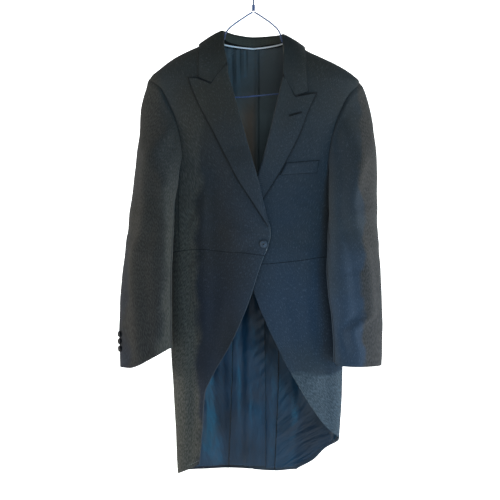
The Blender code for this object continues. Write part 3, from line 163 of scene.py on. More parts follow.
ARM_TOP = {RIGHT: 0.239, LEFT: 0.248}
ARM_FRONT = {
    RIGHT: at_side(ARM_TOP[RIGHT]) + on_front((-0.2106, 0.267), (-0.196, 0.296), (-0.179, 0.3345),
        (-0.1673, 0.376), (-0.161, 0.418), (-0.166, 0.452)),
    LEFT: at_side(ARM_TOP[LEFT]) + on_front((0.218, 0.281), (0.2007, 0.313), (0.1863, 0.348),
        (0.1744, 0.3927), (0.1686, 0.434), (0.171, 0.46)),
}
ARM_BACK = {
    RIGHT: at_side(ARM_TOP[RIGHT]) + on_back((-0.212, 0.27), (-0.19, 0.31), (-0.176, 0.35),
        (-0.168, 0.4)),
    LEFT: at_side(ARM_TOP[LEFT]) + on_back((0.216, 0.28), (0.194, 0.32), (0.18, 0.36),
        (0.172, 0.408)),
}
ARM_BASE = {
    RIGHT: ARM_FRONT[RIGHT][-1:] + on_front((-0.188, 0.481)) + at_side(0.494)
        + on_back((-0.192, 0.482), (-0.178, 0.445)) + ARM_BACK[RIGHT][-1:],
    LEFT: ARM_FRONT[LEFT][-1:] + on_front((0.192, 0.488)) + at_side(0.5) + on_back((0.196, 0.488),
        (0.182, 0.452)) + ARM_BACK[LEFT][-1:],
}
SIDE_SEAM = {
    RIGHT: ARM_FRONT[RIGHT][-1:] + on_front((-0.17, 0.52), (-0.17, 0.66)),
    LEFT: ARM_FRONT[LEFT][-1:] + on_front((0.174, 0.53), (0.174, 0.67)),
}
BACK_SEAM = {
    RIGHT: ARM_BACK[RIGHT][-1:] + on_back((-0.15, 0.45), (-0.124, 0.5), (-0.095, 0.55),
        (-0.069, 0.6), (-0.052, 0.655), (-0.0475, 0.72), (-0.0487, 0.86), (-0.0575, 1.16)),
    LEFT: ARM_BACK[LEFT][-1:] + on_back((0.154, 0.45), (0.128, 0.5), (0.099, 0.55), (0.073, 0.6),
        (0.056, 0.655), (0.054, 0.72), (0.0594, 0.87), (0.05, 1.16)),
}
WAIST = {
    RIGHT: on_front((0.04, 0.65), (0.0055, 0.6451), (-0.0913, 0.6361), (-0.1026, 0.6343),
        (-0.1231, 0.6335)) + at_side(0.644) + on_back((-0.12, 0.65), (-0.05, 0.655)),
    LEFT: on_front((-0.04, 0.669), (0.0246, 0.6664), (0.1046, 0.6586), (0.1616, 0.6508))
        + at_side(0.65) + on_back((0.12, 0.653), (0.05, 0.655)),
}
HEM = {
    RIGHT: on_front((-0.1233, 1.1215), (-0.15, 1.135)) + at_side(1.147) + on_back((-0.057, 1.147),
        (0.0, 1.1475)),
    LEFT: at_side(1.15) + on_back((0.1017, 1.15), (0.05, 1.153), (0.0, 1.15)),
}
LAPEL_EDGE = {
    RIGHT: on_front((-0.1467, 0.2456), (-0.1281, 0.296), (-0.0933, 0.3639), (-0.0633, 0.4237),
        (-0.0357, 0.4766), (0.0032, 0.5367), (0.033, 0.584)),
    LEFT: on_front((0.1425, 0.2808), (0.1225, 0.324), (0.1052, 0.3704), (0.0705, 0.4399),
        (0.0525, 0.4714), (0.0256, 0.5141), (-0.004, 0.56), (-0.0225, 0.59)),
}
LAPEL_TOP = {
    RIGHT: on_front((-0.0585, 0.2132), (-0.0958, 0.2604), (-0.1275, 0.2475), (-0.1467, 0.2456)),
    LEFT: on_front((0.0655, 0.2392), (0.0932, 0.2903), (0.1425, 0.2808)),
}
LAPEL_END = {RIGHT: 0.584, LEFT: 0.592}
NECK_DROP = {"side": 0.1475, "back": 0.1600, "front": 0.1650}
ROLL_INSET, ROLL_RUN_OUT = 0.004, 0.03

# The right front laps over the left one, so it stands off the body there
LAP_LIFT = ((0.40, 0.0), (0.455, 0.0085), (0.600, 0.0085), (0.640, 0.0048), (0.735, 0.0048),
            (0.800, 0.0))
LAP_START, LAP_FULL = -0.095, -0.045

# The centre vent: the right tail's underlap, and where it tucks in behind the left tail
VENT = ((0.15, 0.0), (0.7115, 0.0), (0.745, 0.0245), (1.16, 0.0265))
VENT_TUCK, VENT_NEAR, VENT_RUN, VENT_TOP, VENT_FALL = 0.0050, 0.07, 0.05, 0.656, 0.038

# Breast welt on the left front: its top and bottom edges
WELT_TOP = on_front((0.0735, 0.4395), (0.1484, 0.4325))
WELT_BOTTOM = on_front((0.0595, 0.4668), (0.1426, 0.4619))
WELT_THICK = 0.0016
print(sum(len(EDGE[side]) for side in EDGE), "marks along the front edges")

# %% [markdown]
# ## Sleeve and collar measures
#
# A sleeve is drafted from its outline and the bend of the elbow, a collar from its fold line, the
# width of its leaf and the height of its stand. The cuffs slant, because a hanging sleeve turns.

# %% Sleeve and collar measures
# Sleeves: silhouettes from the middle, the middle's depth and half the depth
Sleeve = namedtuple("Sleeve", "drop outer inner middle depth")
SLEEVE = {
    RIGHT: rows_as(
        Sleeve,
        (0.2390, 0.2365, 0.205, 0.000, 0.020),
        (0.2650, 0.2456, 0.190, -0.002, 0.034),
        (0.3170, 0.2596, 0.172, -0.006, 0.049),
        (0.3650, 0.2620, 0.163, -0.010, 0.055),
        (0.4120, 0.2680, 0.160, -0.016, 0.057),
        (0.4730, 0.2743, 0.163, -0.024, 0.056),
        (0.5200, 0.2790, 0.172, -0.031, 0.054),
        (0.5820, 0.2860, 0.1785, -0.039, 0.051),
        (0.6500, 0.2940, 0.1815, -0.046, 0.048),
        (0.7080, 0.3000, 0.1835, -0.050, 0.045),
        (0.7760, 0.3025, 0.1820, -0.054, 0.042),
        (0.8280, 0.3037, 0.1810, -0.057, 0.040),
        (0.9000, 0.3014, 0.1805, -0.059, 0.038),
    ),
    LEFT: rows_as(
        Sleeve,
        (0.2480, 0.2440, 0.210, 0.000, 0.020),
        (0.2730, 0.2590, 0.195, -0.002, 0.034),
        (0.3220, 0.2720, 0.178, -0.006, 0.049),
        (0.3650, 0.2775, 0.170, -0.010, 0.055),
        (0.4350, 0.2830, 0.166, -0.018, 0.057),
        (0.5020, 0.2828, 0.163, -0.028, 0.055),
        (0.5700, 0.2825, 0.1656, -0.038, 0.052),
        (0.6280, 0.2840, 0.1650, -0.045, 0.049),
        (0.6850, 0.2883, 0.1625, -0.050, 0.046),
        (0.7420, 0.2900, 0.1670, -0.054, 0.043),
        (0.7900, 0.2910, 0.1740, -0.056, 0.041),
        (0.8640, 0.2895, 0.1780, -0.058, 0.039),
        (0.9000, 0.2888, 0.1781, -0.058, 0.038),
    ),
}
CUFF = {
    RIGHT: ((0.186, 0.853), (0.2254, 0.8745), (0.2615, 0.893), (0.278, 0.8975), (0.3014, 0.898)),
    LEFT: ((0.178, 0.884), (0.1877, 0.8907), (0.236, 0.8935), (0.2888, 0.8945)),
}
SLEEVE_SKEW, SLEEVE_BLEND = 0.30, 0.12
SLEEVE_CLEAR, SLEEVE_TRIM, HOLE_INSET = 0.0052, 0.009, 0.0013
BACK_SEAM_ANGLE_TOP = math.radians(-80)
BACK_SEAM_ANGLE_CUFF = {RIGHT: math.radians(6), LEFT: math.radians(-44)}
FRONT_SEAM_ANGLE = math.radians(166)

# The collar: its fold line, the middle of its leaf, the leaf's outer edge and the drop of the
# stand's foot. Rows run from the notch to the centre back, which is the right side's last one
Collar = namedtuple("Collar", "fold middle edge foot")
COLLAR = {
    RIGHT: rows_as(
        Collar,
        (("lay", -0.0588, 0.2125), ("lay", -0.0955, 0.2585), ("lay", -0.1254, 0.2457), 0.2360),
        (("lay", -0.0648, 0.1830), ("lay", -0.0985, 0.2150), ("lay", -0.1245, 0.2044), 0.2000),
        ((-0.0705, -0.0175, 0.1530), (-0.0985, -0.0230, 0.1660), ("lay", -0.1238, 0.1780), 0.1550),
        ((-0.0747, 0.0, 0.1302), (-0.1000, 0.0, 0.1436), (-0.1258, 0.0, 0.1620), 0.1450),
        ((-0.0655, 0.0260, 0.1284), (-0.0920, 0.0375, 0.1450), (-0.1130, 0.0470, 0.1680), 0.1500),
        ((-0.0450, 0.0455, 0.1310), (-0.0580, 0.0585, 0.1550), (-0.0700, 0.0625, 0.1810), 0.1535),
        ((0.0, 0.0575, 0.1347), (0.0, 0.0620, 0.1600), (0.0, 0.0640, 0.1850), 0.1582),
    ),
    LEFT: rows_as(
        Collar,
        (("lay", 0.0658, 0.2380), ("lay", 0.0930, 0.2885), ("lay", 0.1240, 0.2782), 0.2600),
        (("lay", 0.0680, 0.2000), ("lay", 0.0960, 0.2380), ("lay", 0.1200, 0.2300), 0.2200),
        ((0.0705, -0.0175, 0.1600), (0.0965, -0.0290, 0.1755), ("lay", 0.1185, 0.1960), 0.1600),
        ((0.0715, 0.0, 0.1385), (0.0950, 0.0, 0.1520), (0.1170, 0.0, 0.1675), 0.1500),
        ((0.0650, 0.0260, 0.1355), (0.0880, 0.0375, 0.1520), (0.1070, 0.0470, 0.1750), 0.1540),
        ((0.0450, 0.0455, 0.1343), (0.0570, 0.0585, 0.1570), (0.0690, 0.0625, 0.1825), 0.1535),
    ),
}
print("sleeve outlines of", [len(SLEEVE[side]) for side in SLEEVE], "levels")

# %% [markdown]
# ## Hanger measures
#
# A dry cleaner's hanger is one bent wire. Its arms leave the neck, follow the shoulders and turn
# back into the bar, which shows across the lining.

# %% Hanger measures
Bend = namedtuple("Bend", "x drop")
ARM = {
    RIGHT: rows_as(Bend, (-0.0028, 0.0884), (-0.010, 0.0925), (-0.020, 0.0990), (-0.040, 0.1125),
                   (-0.056, 0.1255), (-0.0645, 0.1375), (-0.0672, 0.1490), (-0.0745, 0.1590)),
    LEFT: rows_as(Bend, (0.0028, 0.0884), (0.010, 0.0925), (0.020, 0.0990), (0.040, 0.1130),
                  (0.055, 0.1270), (0.0615, 0.1385), (0.0640, 0.1500), (0.0710, 0.1610)),
}
BAR = rows_as(Bend, (-0.196, 0.2560), (-0.150, 0.2730), (-0.090, 0.2825), (-0.039, 0.2838),
              (0.006, 0.2806), (0.050, 0.2764), (0.120, 0.2700), (0.196, 0.2640))
print("bar", round(BAR[-1].x - BAR[0].x, 3), "m wide")

# %% [markdown]
# ## Curves through the measures
#
# Cloth turns smoothly from one measure to the next and never swings past either. A monotone curve
# does the same, so it reads every table here.

# %% Smooth curves
def smooth(knots, values, at):
    """A smooth curve through the values at rising knots, without overshoot, read at places."""
    knots = np.asarray(knots, float)
    values = np.asarray(values, float)
    at = np.clip(np.asarray(at, float), knots[0], knots[-1])
    step = np.diff(knots)
    rise = np.diff(values) / step
    slope = np.concatenate([rise[:1], np.zeros(len(rise) - 1), rise[-1:]])
    before, after = rise[:-1], rise[1:]
    turning = before * after <= 0
    both = np.where(turning, 1.0, before + after)
    slope[1:-1] = np.where(turning, 0.0, 2 * before * after / both)
    k = np.clip(np.searchsorted(knots, at, side="right") - 1, 0, len(step) - 1)
    h = step[k]
    t = (at - knots[k]) / h
    low = (1 + 2 * t) * (1 - t) ** 2 * values[k] + t * (1 - t) ** 2 * h * slope[k]
    high = t * t * (3 - 2 * t) * values[k + 1] + t * t * (t - 1) * h * slope[k + 1]
    return low + high


def read_table(rows, column, at, by="drop"):
    """One column of a table as a smooth curve over another."""
    return smooth([getattr(row, by) for row in rows], [getattr(row, column) for row in rows], at)


def bell(distance, width):
    """1 in the middle, falling to 0 on both sides."""
    return np.exp(-((distance / width) ** 2))


def unit(vectors):
    """Vectors brought to length 1."""
    return vectors / np.linalg.norm(vectors, axis=-1, keepdims=True)


def ease(value):
    """0 to 1 with a soft start and end."""
    value = np.clip(value, 0.0, 1.0)
    return value * value * (3 - 2 * value)


print("half way along 0, 1, 1:", smooth((0, 1, 2), (0, 1, 1), (0.5, 1.5)).round(3))

# %% [markdown]
# ## Round the body
#
# A tape measure goes round the body at one level. A share says how far round a place is: 0 at the
# centre front, 1 at the centre back on the left, and -1 there on the right. Half of the tape is
# laid along each section, so a share means the same on a wide level and on a narrow one.

# %% Rings and shares
FOLD_RUN, FOLD_PAST = 4, 1.15


def section(column, drop):
    """One column of the body's sections at any drop."""
    return read_table(BODY, column, drop)


def half_ring(left, drop):
    """Half of each level section, from the centre front round the side to the centre back."""
    width = np.where(left, section("left", drop), section("right", drop))[:, None]
    front = section("front", drop)[:, None]
    back = section("back", drop)[:, None]
    power = 2.0 / section("square", drop)[:, None]
    across = width * np.maximum(np.sin(TURN), 0.0) ** power
    depth = np.where(TURN < PI / 2, -front, back) * np.abs(np.cos(TURN)) ** power
    steps = np.hypot(np.diff(across), np.diff(depth))
    return across, depth, np.insert(np.cumsum(steps, axis=1), 0, 0.0, axis=1)


def wrapped(share):
    """A share past the centre back goes on round the other side."""
    return (share + 1.0) % 2.0 - 1.0


def fold_height(share, drop, reach):
    """How far the body's soft folds stand out or in at each place."""
    side = np.where(wrapped(share) > 0, LEFT, RIGHT)
    height = np.zeros(len(drop))
    for fold in FOLDS:
        along = (drop - fold.top) / (fold.bottom - fold.top)
        place = fold.start + (fold.end - fold.start) * along
        shape = bell(reach - place, fold.width)
        window = ease(along * FOLD_RUN) * ease((FOLD_PAST - along) * FOLD_RUN)
        height += np.where(side == fold.side, fold.height * shape * window, 0.0)
    return height


print("half round the chest", half_ring(np.array([True]), np.array([0.45]))[2][0, -1].round(3), "m")

# %% [markdown]
# ## Creases
#
# A hung coat shows where it has been worn and folded: soft ridges that run from a point of strain
# and die out. Each crease is a line on the front or back with a width and a height; a negative
# height is a trough. The same creases bend everything that lies there, so the layers never cross.

# %% Creases
CREASE_STRENGTH, SIDE_BLEND, WAVES = 1.5, 0.02, 7
Crease = namedtuple("Crease", "face x0 drop0 x1 drop1 width height")
CREASES = rows_as(
    Crease,
    # chest and waist of the right front
    ("front", -0.108, 0.470, -0.116, 0.640, 0.010, 0.0016),
    ("front", -0.128, 0.520, -0.160, 0.600, 0.009, -0.0014),
    ("front", -0.030, 0.600, -0.110, 0.560, 0.010, 0.0010),
    ("front", 0.018, 0.622, -0.070, 0.650, 0.008, -0.0012),
    ("front", 0.014, 0.610, -0.060, 0.585, 0.007, 0.0009),
    ("front", -0.100, 0.630, -0.150, 0.700, 0.010, 0.0012),
    # left front
    ("front", 0.060, 0.520, 0.150, 0.560, 0.012, 0.0010),
    ("front", 0.080, 0.600, 0.160, 0.640, 0.012, -0.0011),
    ("front", 0.128, 0.360, 0.160, 0.440, 0.010, 0.0012),
    ("front", -0.128, 0.350, -0.155, 0.430, 0.010, 0.0012),
    # skirts
    ("front", -0.060, 0.700, -0.104, 0.960, 0.014, 0.0018),
    ("front", -0.130, 0.700, -0.128, 1.120, 0.012, -0.0020),
    ("front", -0.155, 0.760, -0.150, 1.120, 0.012, 0.0018),
    ("front", 0.060, 0.720, 0.110, 0.930, 0.016, 0.0014),
    ("front", 0.130, 0.700, 0.165, 0.960, 0.012, -0.0018),
    ("front", 0.110, 0.935, 0.200, 0.915, 0.010, 0.0014),
    # back
    ("back", -0.150, 0.300, -0.100, 0.420, 0.012, 0.0014),
    ("back", 0.150, 0.310, 0.100, 0.430, 0.012, 0.0014),
    ("back", -0.120, 0.440, -0.060, 0.600, 0.012, -0.0012),
    ("back", 0.124, 0.450, 0.064, 0.600, 0.012, -0.0012),
    ("back", -0.090, 0.600, -0.030, 0.585, 0.008, 0.0008),
    ("back", 0.090, 0.605, 0.030, 0.590, 0.008, 0.0008),
    ("back", -0.100, 0.700, -0.110, 1.120, 0.014, 0.0018),
    ("back", 0.100, 0.700, 0.112, 1.100, 0.014, 0.0018),
    ("back", -0.140, 0.720, -0.140, 1.120, 0.012, -0.0018),
    ("back", 0.145, 0.720, 0.140, 1.060, 0.012, -0.0018),
)


def ridge(across, along, start, end, width):
    """A soft ridge of height 1 along a line, seen in a plane, dying out at both ends."""
    run = np.array([end[0] - start[0], end[1] - start[1]])
    length = np.hypot(*run)
    ahead = ((across - start[0]) * run[0] + (along - start[1]) * run[1]) / length ** 2
    aside = ((across - start[0]) * run[1] - (along - start[1]) * run[0]) / length
    return bell(aside, width) * ease(ahead * 3) * ease((1 - ahead) * 3)


def crease_height(points):
    """How far the creases raise each point of the body."""
    across, drop = points[..., 0], -points[..., 2]
    at_front = ease(0.5 - points[..., 1] / SIDE_BLEND)
    height = np.zeros(across.shape)
    for c in CREASES:
        shape = ridge(across, drop, (c.x0, c.drop0), (c.x1, c.drop1), c.width)
        height += c.height * shape * (at_front if c.face == "front" else 1 - at_front)
    return height * CREASE_STRENGTH


def relief(points, size, wave, seed):
    """A gentle unevenness: a few waves in different directions."""
    chance = np.random.default_rng(seed)
    height = np.zeros(points.shape[:-1])
    for _ in range(WAVES):
        direction = chance.normal(size=3)
        direction /= np.linalg.norm(direction)
        length = wave * chance.uniform(0.6, 1.5)
        height += np.sin(points @ direction * 2 * PI / length + chance.uniform(0, 2 * PI))
    return height * size / WAVES ** 0.5


print(len(CREASES), "creases")

# %% [markdown]
# ## The body as a fine net
#
# The sections are turned once into a net of points 2 mm apart, with folds, creases and a slight
# unevenness already in it. Every piece of cloth is then looked up on this net and lifted off it.

# %% Body net
SHARES = np.linspace(-1.0, 1.0, 801)
DROP_STEP = 0.002
DROPS = np.arange(0.136, 1.166, DROP_STEP)
CALM_ABOVE, CALM_RUN = 0.20, 0.2


def net_normals(points, closed=True):
    """Outward normals of a net whose columns go round the body."""
    if closed:
        wide = np.concatenate([points[:, -2:-1], points, points[:, 1:2]], axis=1)
        along = wide[:, 2:] - wide[:, :-2]
    else:
        along = np.gradient(points, axis=1)
    normal = np.cross(np.gradient(points, axis=0), along)
    return normal / np.maximum(np.linalg.norm(normal, axis=2), 1e-12)[:, :, None]


def body_net():
    """Points, outward directions and half the girth of the whole body."""
    points = np.empty((len(DROPS), len(SHARES), 3))
    reach = np.empty(points.shape[:2])
    for left in (False, True):
        across, depth, run = half_ring(np.full(len(DROPS), left), DROPS)
        columns = np.flatnonzero((SHARES > 0) == left)
        for r in range(len(DROPS)):
            want = np.abs(SHARES[columns]) * run[r, -1]
            points[r, columns, 0] = np.interp(want, run[r], across[r]) * (1 if left else -1)
            points[r, columns, 1] = np.interp(want, run[r], depth[r])
            reach[r, columns] = want
    points[:, :, 2] = -DROPS[:, None]
    share, drop = np.meshgrid(SHARES, DROPS)
    height = fold_height(share.ravel(), drop.ravel(), reach.ravel()).reshape(share.shape)
    calm = ease((drop - CALM_ABOVE) / CALM_RUN)
    height += (crease_height(points) + relief(points, 0.0005, 0.11, 3)) * calm
    points = points + height[:, :, None] * net_normals(points)
    half = half_ring(np.zeros(len(DROPS), bool), DROPS)[2][:, -1]
    return points, net_normals(points), half


NET, NET_NORMALS, HALF_GIRTH = body_net()
print("body net", NET.shape)


def looked_up(net, share, drop):
    """A net's values between its own points."""
    across = (wrapped(share) + 1) / (SHARES[1] - SHARES[0])
    down = np.clip((drop - DROPS[0]) / DROP_STEP, 0, len(DROPS) - 1.001)
    c = np.clip(across.astype(int), 0, len(SHARES) - 2)
    r = down.astype(int)
    s, t = (across - c)[..., None], (down - r)[..., None]
    high = net[r, c] * (1 - s) + net[r, c + 1] * s
    low = net[r + 1, c] * (1 - s) + net[r + 1, c + 1] * s
    return high * (1 - t) + low * t


def skin(share, drop, lift=0.0):
    """Points lifted off the body along its normal."""
    share, drop, lift = np.broadcast_arrays(np.asarray(share, float), drop, lift)
    return looked_up(NET, share, drop) + lift[..., None] * looked_up(NET_NORMALS, share, drop)


def half_girth(drop):
    """Half the way round the body at each drop."""
    return np.interp(drop, DROPS, HALF_GIRTH)

# %% [markdown]
# ## Lines between chalk marks
#
# A seam is a line that passes through its marks. Long seams give a share for each drop, short ones
# a drop for each share. A piece is the grid between two long and two short lines, so its rows run
# along its own edges, as the weave does in a piece that was shaped by ironing.

# %% Places on the body
SETTLING = 12


def share_at(side, mark):
    """The share at a chalk mark."""
    left = np.array([side == LEFT if mark.part == "side" or mark.x == 0 else mark.x > 0])
    across, _, run = half_ring(left, np.array([mark.drop]))
    widest = len(TURN) // 2
    if mark.part == "side":
        reach = run[0, widest]
    elif mark.part == "front":
        reach = np.interp(abs(mark.x), across[0, :widest + 1], run[0, :widest + 1])
    else:
        reach = np.interp(-abs(mark.x), -across[0, widest:], run[0, widest:])
    share = (1 if left[0] else -1) * reach / run[0, -1]
    if side == RIGHT and mark.part == "back" and mark.x > 0:
        share -= 2
    return share


def down_line(side, marks):
    """A long seam or edge: the share at each drop."""
    drops = [mark.drop for mark in marks]
    shares = [share_at(side, mark) for mark in marks]
    return lambda drop: smooth(drops, shares, drop)


def by_share(side, marks):
    """The shares and drops of marks, in the order of their shares."""
    return tuple(zip(*sorted((share_at(side, mark), mark.drop) for mark in marks)))


def cross_line(side, marks):
    """A short seam or edge: the drop at each share."""
    shares, drops = by_share(side, marks)
    return lambda share: smooth(shares, drops, share)


def straight_line(side, marks):
    """A short edge that is straight between its marks."""
    shares, drops = by_share(side, marks)
    return lambda share: np.interp(share, shares, drops)


def level(drop):
    """A short edge at one drop."""
    return lambda share: np.full(np.shape(share), drop)


def moved(line, by):
    """A line moved by a distance, to leave the gap of a seam."""
    return lambda at: line(at) + by


def grid(inner, outer, top, bottom, across, down):
    """Shares and drops of a piece between two long edges and two short ones."""
    def places(line):
        drop = np.full(len(across), float(line(inner(np.array([0.5])))[0]))
        for _ in range(SETTLING):
            share = inner(drop) + across * (outer(drop) - inner(drop))
            drop = line(share)
        return drop
    high, low = places(top), places(bottom)
    drop = high[None, :] + down[:, None] * (low - high)[None, :]
    share = inner(drop) + across[None, :] * (outer(drop) - inner(drop))
    return share, drop


def steps_between(marks, counts):
    """Shares of a length that pass through the marks, with a count of even steps between each."""
    marks = np.asarray(marks, float)
    parts = [np.linspace(a, b, n, endpoint=False) for a, b, n in zip(marks, marks[1:], counts)]
    whole = np.concatenate(parts + [marks[-1:]])
    return (whole - marks[0]) / (marks[-1] - marks[0])


print("share of the left front seam", round(share_at(LEFT, SIDE_SEAM[LEFT][0]), 3))

# %% [markdown]
# ## Edges of the pieces
#
# Below the lapels the fronts' edge is one curve down to the hem. The shoulder seam, the armhole and
# the seam below it make the other long edge. The right front stands off where it laps over the
# left one, and the right tail's underlap is tucked in behind the left tail.

# %% Edges of the pieces
RIDGE_TOP, RIDGE_MARKS = 0.14, 10


def lap_lift(share, drop):
    """How far the right front stands off the body where it laps over the left front."""
    drops, lifts = zip(*LAP_LIFT)
    across = looked_up(NET, share, drop)[..., 0]
    return smooth(drops, lifts, drop) * ease((across - LAP_START) / (LAP_FULL - LAP_START))


def front_lift(side, share, drop):
    """The lift of a front and its skirt."""
    return lap_lift(share, drop) if side == RIGHT else np.zeros(np.shape(drop))


def vent_tuck(share, drop):
    """How far the right tail's underlap is tucked in behind the left tail."""
    past = np.where(share < 0, -1 - share, 1.0)
    down = ease((drop - VENT_TOP) / VENT_FALL)
    return -VENT_TUCK * ease((past + VENT_NEAR) / VENT_RUN) * down


def waist_line(side):
    return cross_line(side, WAIST[side])


def front_inner(side):
    """The front's free edge: just inside the lapel's roll, then the cutaway edge itself."""
    edge = down_line(side, EDGE[side])
    end = LAPEL_END[side]

    def line(drop):
        inset = ROLL_INSET * (1 - ease((drop - end + ROLL_RUN_OUT) / ROLL_RUN_OUT))
        return edge(drop) + side * inset / half_girth(drop)
    return line


def seam_gap(line, side, way):
    """A long seam moved half a gap towards the front (-1) or the back (+1)."""
    return lambda drop: line(drop) + side * way * 0.5 * SEAM / half_girth(drop)


def side_name(side):
    return "right" if side == RIGHT else "left"


def arm_rows(side):
    """Drops of the shared steps down the shoulder seam, the armhole's front and the side seam."""
    top = ARM_TOP[side]
    front_end, back_end = ARM_FRONT[side][-1].drop, ARM_BACK[side][-1].drop
    seam = share_at(side, SIDE_SEAM[side][1])
    waist_front = float(waist_line(side)(np.array([seam]))[0])
    waist_back = float(waist_line(side)(np.array([share_at(side, BACK_SEAM[side][5])]))[0])
    return top, front_end, back_end, waist_front, waist_back


def shoulder_and(side, arm, seam, way):
    """Shoulder ridge, armhole and the seam below it, half a gap towards one side."""
    ridge = at_side(*np.linspace(RIDGE_TOP, ARM_TOP[side], RIDGE_MARKS)[:-1])
    return seam_gap(down_line(side, ridge + arm[side] + seam[side][1:]), side, way)


def front_outer(side):
    """Shoulder ridge, armhole and side seam, from the neck to the waist."""
    return shoulder_and(side, ARM_FRONT, SIDE_SEAM, -1)


def back_outer(side):
    """Shoulder ridge, armhole and back seam, then the tail's seam to the hem."""
    return shoulder_and(side, ARM_BACK, BACK_SEAM, 1)


def neck_edge(side, share, drop):
    """The neck edge, from the shoulder to a place near the middle."""
    end = share_at(side, at_side(NECK_DROP["side"])[0])
    shares, drops = zip(*sorted([(share, drop), (end, NECK_DROP["side"])]))
    return lambda share: np.interp(share, shares, drops)


def neck_front(side):
    return neck_edge(side, share_at(side, ROLL[side][1]), NECK_DROP["front"])


def neck_back(side):
    return neck_edge(side, float(side), NECK_DROP["back"])


def back_inner(side):
    """The centre back seam, then the vent's edge."""
    if side == LEFT:
        return lambda drop: 1 - 0.5 * SEAM / half_girth(drop)
    drops, reach = zip(*VENT)
    return lambda drop: -1 + (0.5 * SEAM - smooth(drops, reach, drop)) / half_girth(drop)


print("neck, armhole and waist drops", [round(float(drop), 3) for drop in arm_rows(LEFT)])

# %% [markdown]
# ## Building cloth
#
# Woven cloth is never a bare surface: an edge is turned in and pressed, so it is round and a little
# thicker. Each piece is a closed shell with an outer and an inner net and a rounded rim. It carries
# a flat pattern in metres for the weave, and a mark near its seams and edges where the cloth dips
# in, which darkens its colour there as painted shade.

# %% Nets and meshes
SEAM_REACH, TIP = 0.0017, 0.0006


def edge_steps(count, near=(0.0015, 0.005)):
    """Shares of a length: even steps, with extra ones close to both ends."""
    even = np.linspace(0, 1, max(3, int(count * FINE)) + 1)
    return np.unique(np.concatenate([even, near, 1 - np.array(near)]))


def run_along(points, axis=0):
    """How far each point of a path is along it, or each point of a net along its column or row."""
    steps = np.linalg.norm(np.diff(points, axis=axis), axis=-1)
    return np.insert(np.cumsum(steps, axis=axis), 0, 0.0, axis=axis)


def seam_mark(u, v, edges, reach):
    """1 on the named edges of a net, falling to 0 inside: how much painted shade darkens the
    colour.
    """
    far = {"start": u, "end": u[:, -1:] - u, "top": v, "bottom": v[-1:] - v}
    near = np.full(u.shape, 1.0)
    for edge in edges:
        near = np.minimum(near, far[edge] / reach)
    return 1 - ease(near)


def net_quads(index, closed=False):
    """Quads between the neighbours of a net of point numbers."""
    if closed:
        index = np.concatenate([index, index[:, :1]], axis=1)
    return np.stack([index[:-1, :-1], index[:-1, 1:], index[1:, 1:], index[1:, :-1]],
                    axis=-1).reshape(-1, 4)


def in_scene(name, data):
    """A new object, linked to the scene."""
    made = bpy.data.objects.new(name, data)
    scene.collection.objects.link(made)
    return made


def add_piece(name, points, faces, surface, uv=None, mark=None, replaces=()):
    """A mesh object riding on the root body, facing outwards."""
    points = np.asarray(points, float)
    mesh = bpy.data.meshes.new(name)
    mesh.from_pydata(points.tolist(), [], [list(map(int, f)) for f in faces])
    mesh.calc_loop_triangles()
    corners = np.empty(len(mesh.loop_triangles) * 3, dtype=np.int32)
    mesh.loop_triangles.foreach_get("vertices", corners)
    a, b, c = (points[corners[k::3]] for k in range(3))
    if (a * np.cross(b, c)).sum() < 0:
        mesh.flip_normals()
    if uv is not None:
        owner = np.empty(len(mesh.loops), dtype=np.int32)
        mesh.loops.foreach_get("vertex_index", owner)
        layer = mesh.uv_layers.new(name="cloth")
        layer.data.foreach_set("uv", np.asarray(uv, np.float32)[owner].ravel())
    if mark is not None:
        values = mesh.attributes.new("seam", "FLOAT", "POINT")
        values.data.foreach_set("value", np.asarray(mark, np.float32).ravel())
    mesh.materials.append(surface)
    mesh.shade_smooth()
    piece = in_scene(name, mesh)
    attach(piece, "root")
    if replaces:
        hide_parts(*replaces)
    return piece


print("quads of a net of 3 by 3:", len(net_quads(np.arange(9).reshape(3, 3))))

# %% [markdown]
# ## A piece of cloth
#
# The shell has the outer net, the inner net and two loops of points round the rim, which bulges as
# a turned edge does. Its cut is measured where it is widest and longest.

# %% Cloth shells
LEAST_AREA = 0.31


def rim_quads(first, second):
    """Quads between two loops of the same length, wound to match the nets."""
    a, b = np.roll(first, -1), np.roll(second, -1)
    return np.stack([a, first, second, b], axis=-1)


def declare_sheet(piece, outer, u, v):
    """Prints the cut: the widest row, the longest column and the number of points; the area is
    worked out but not used.
    """
    width, length = float(u[:, -1].max()), float(v[-1].max())
    a, b = outer[1:, 1:] - outer[:-1, :-1], outer[1:, :-1] - outer[:-1, 1:]
    area = float(np.linalg.norm(np.cross(a, b), axis=2).sum() / 2)
    area = min(max(area, LEAST_AREA * width * length), width * length)
    print(f"{piece.name}: cut {width:.3f} x {length:.3f} m, {len(piece.data.vertices)} points")


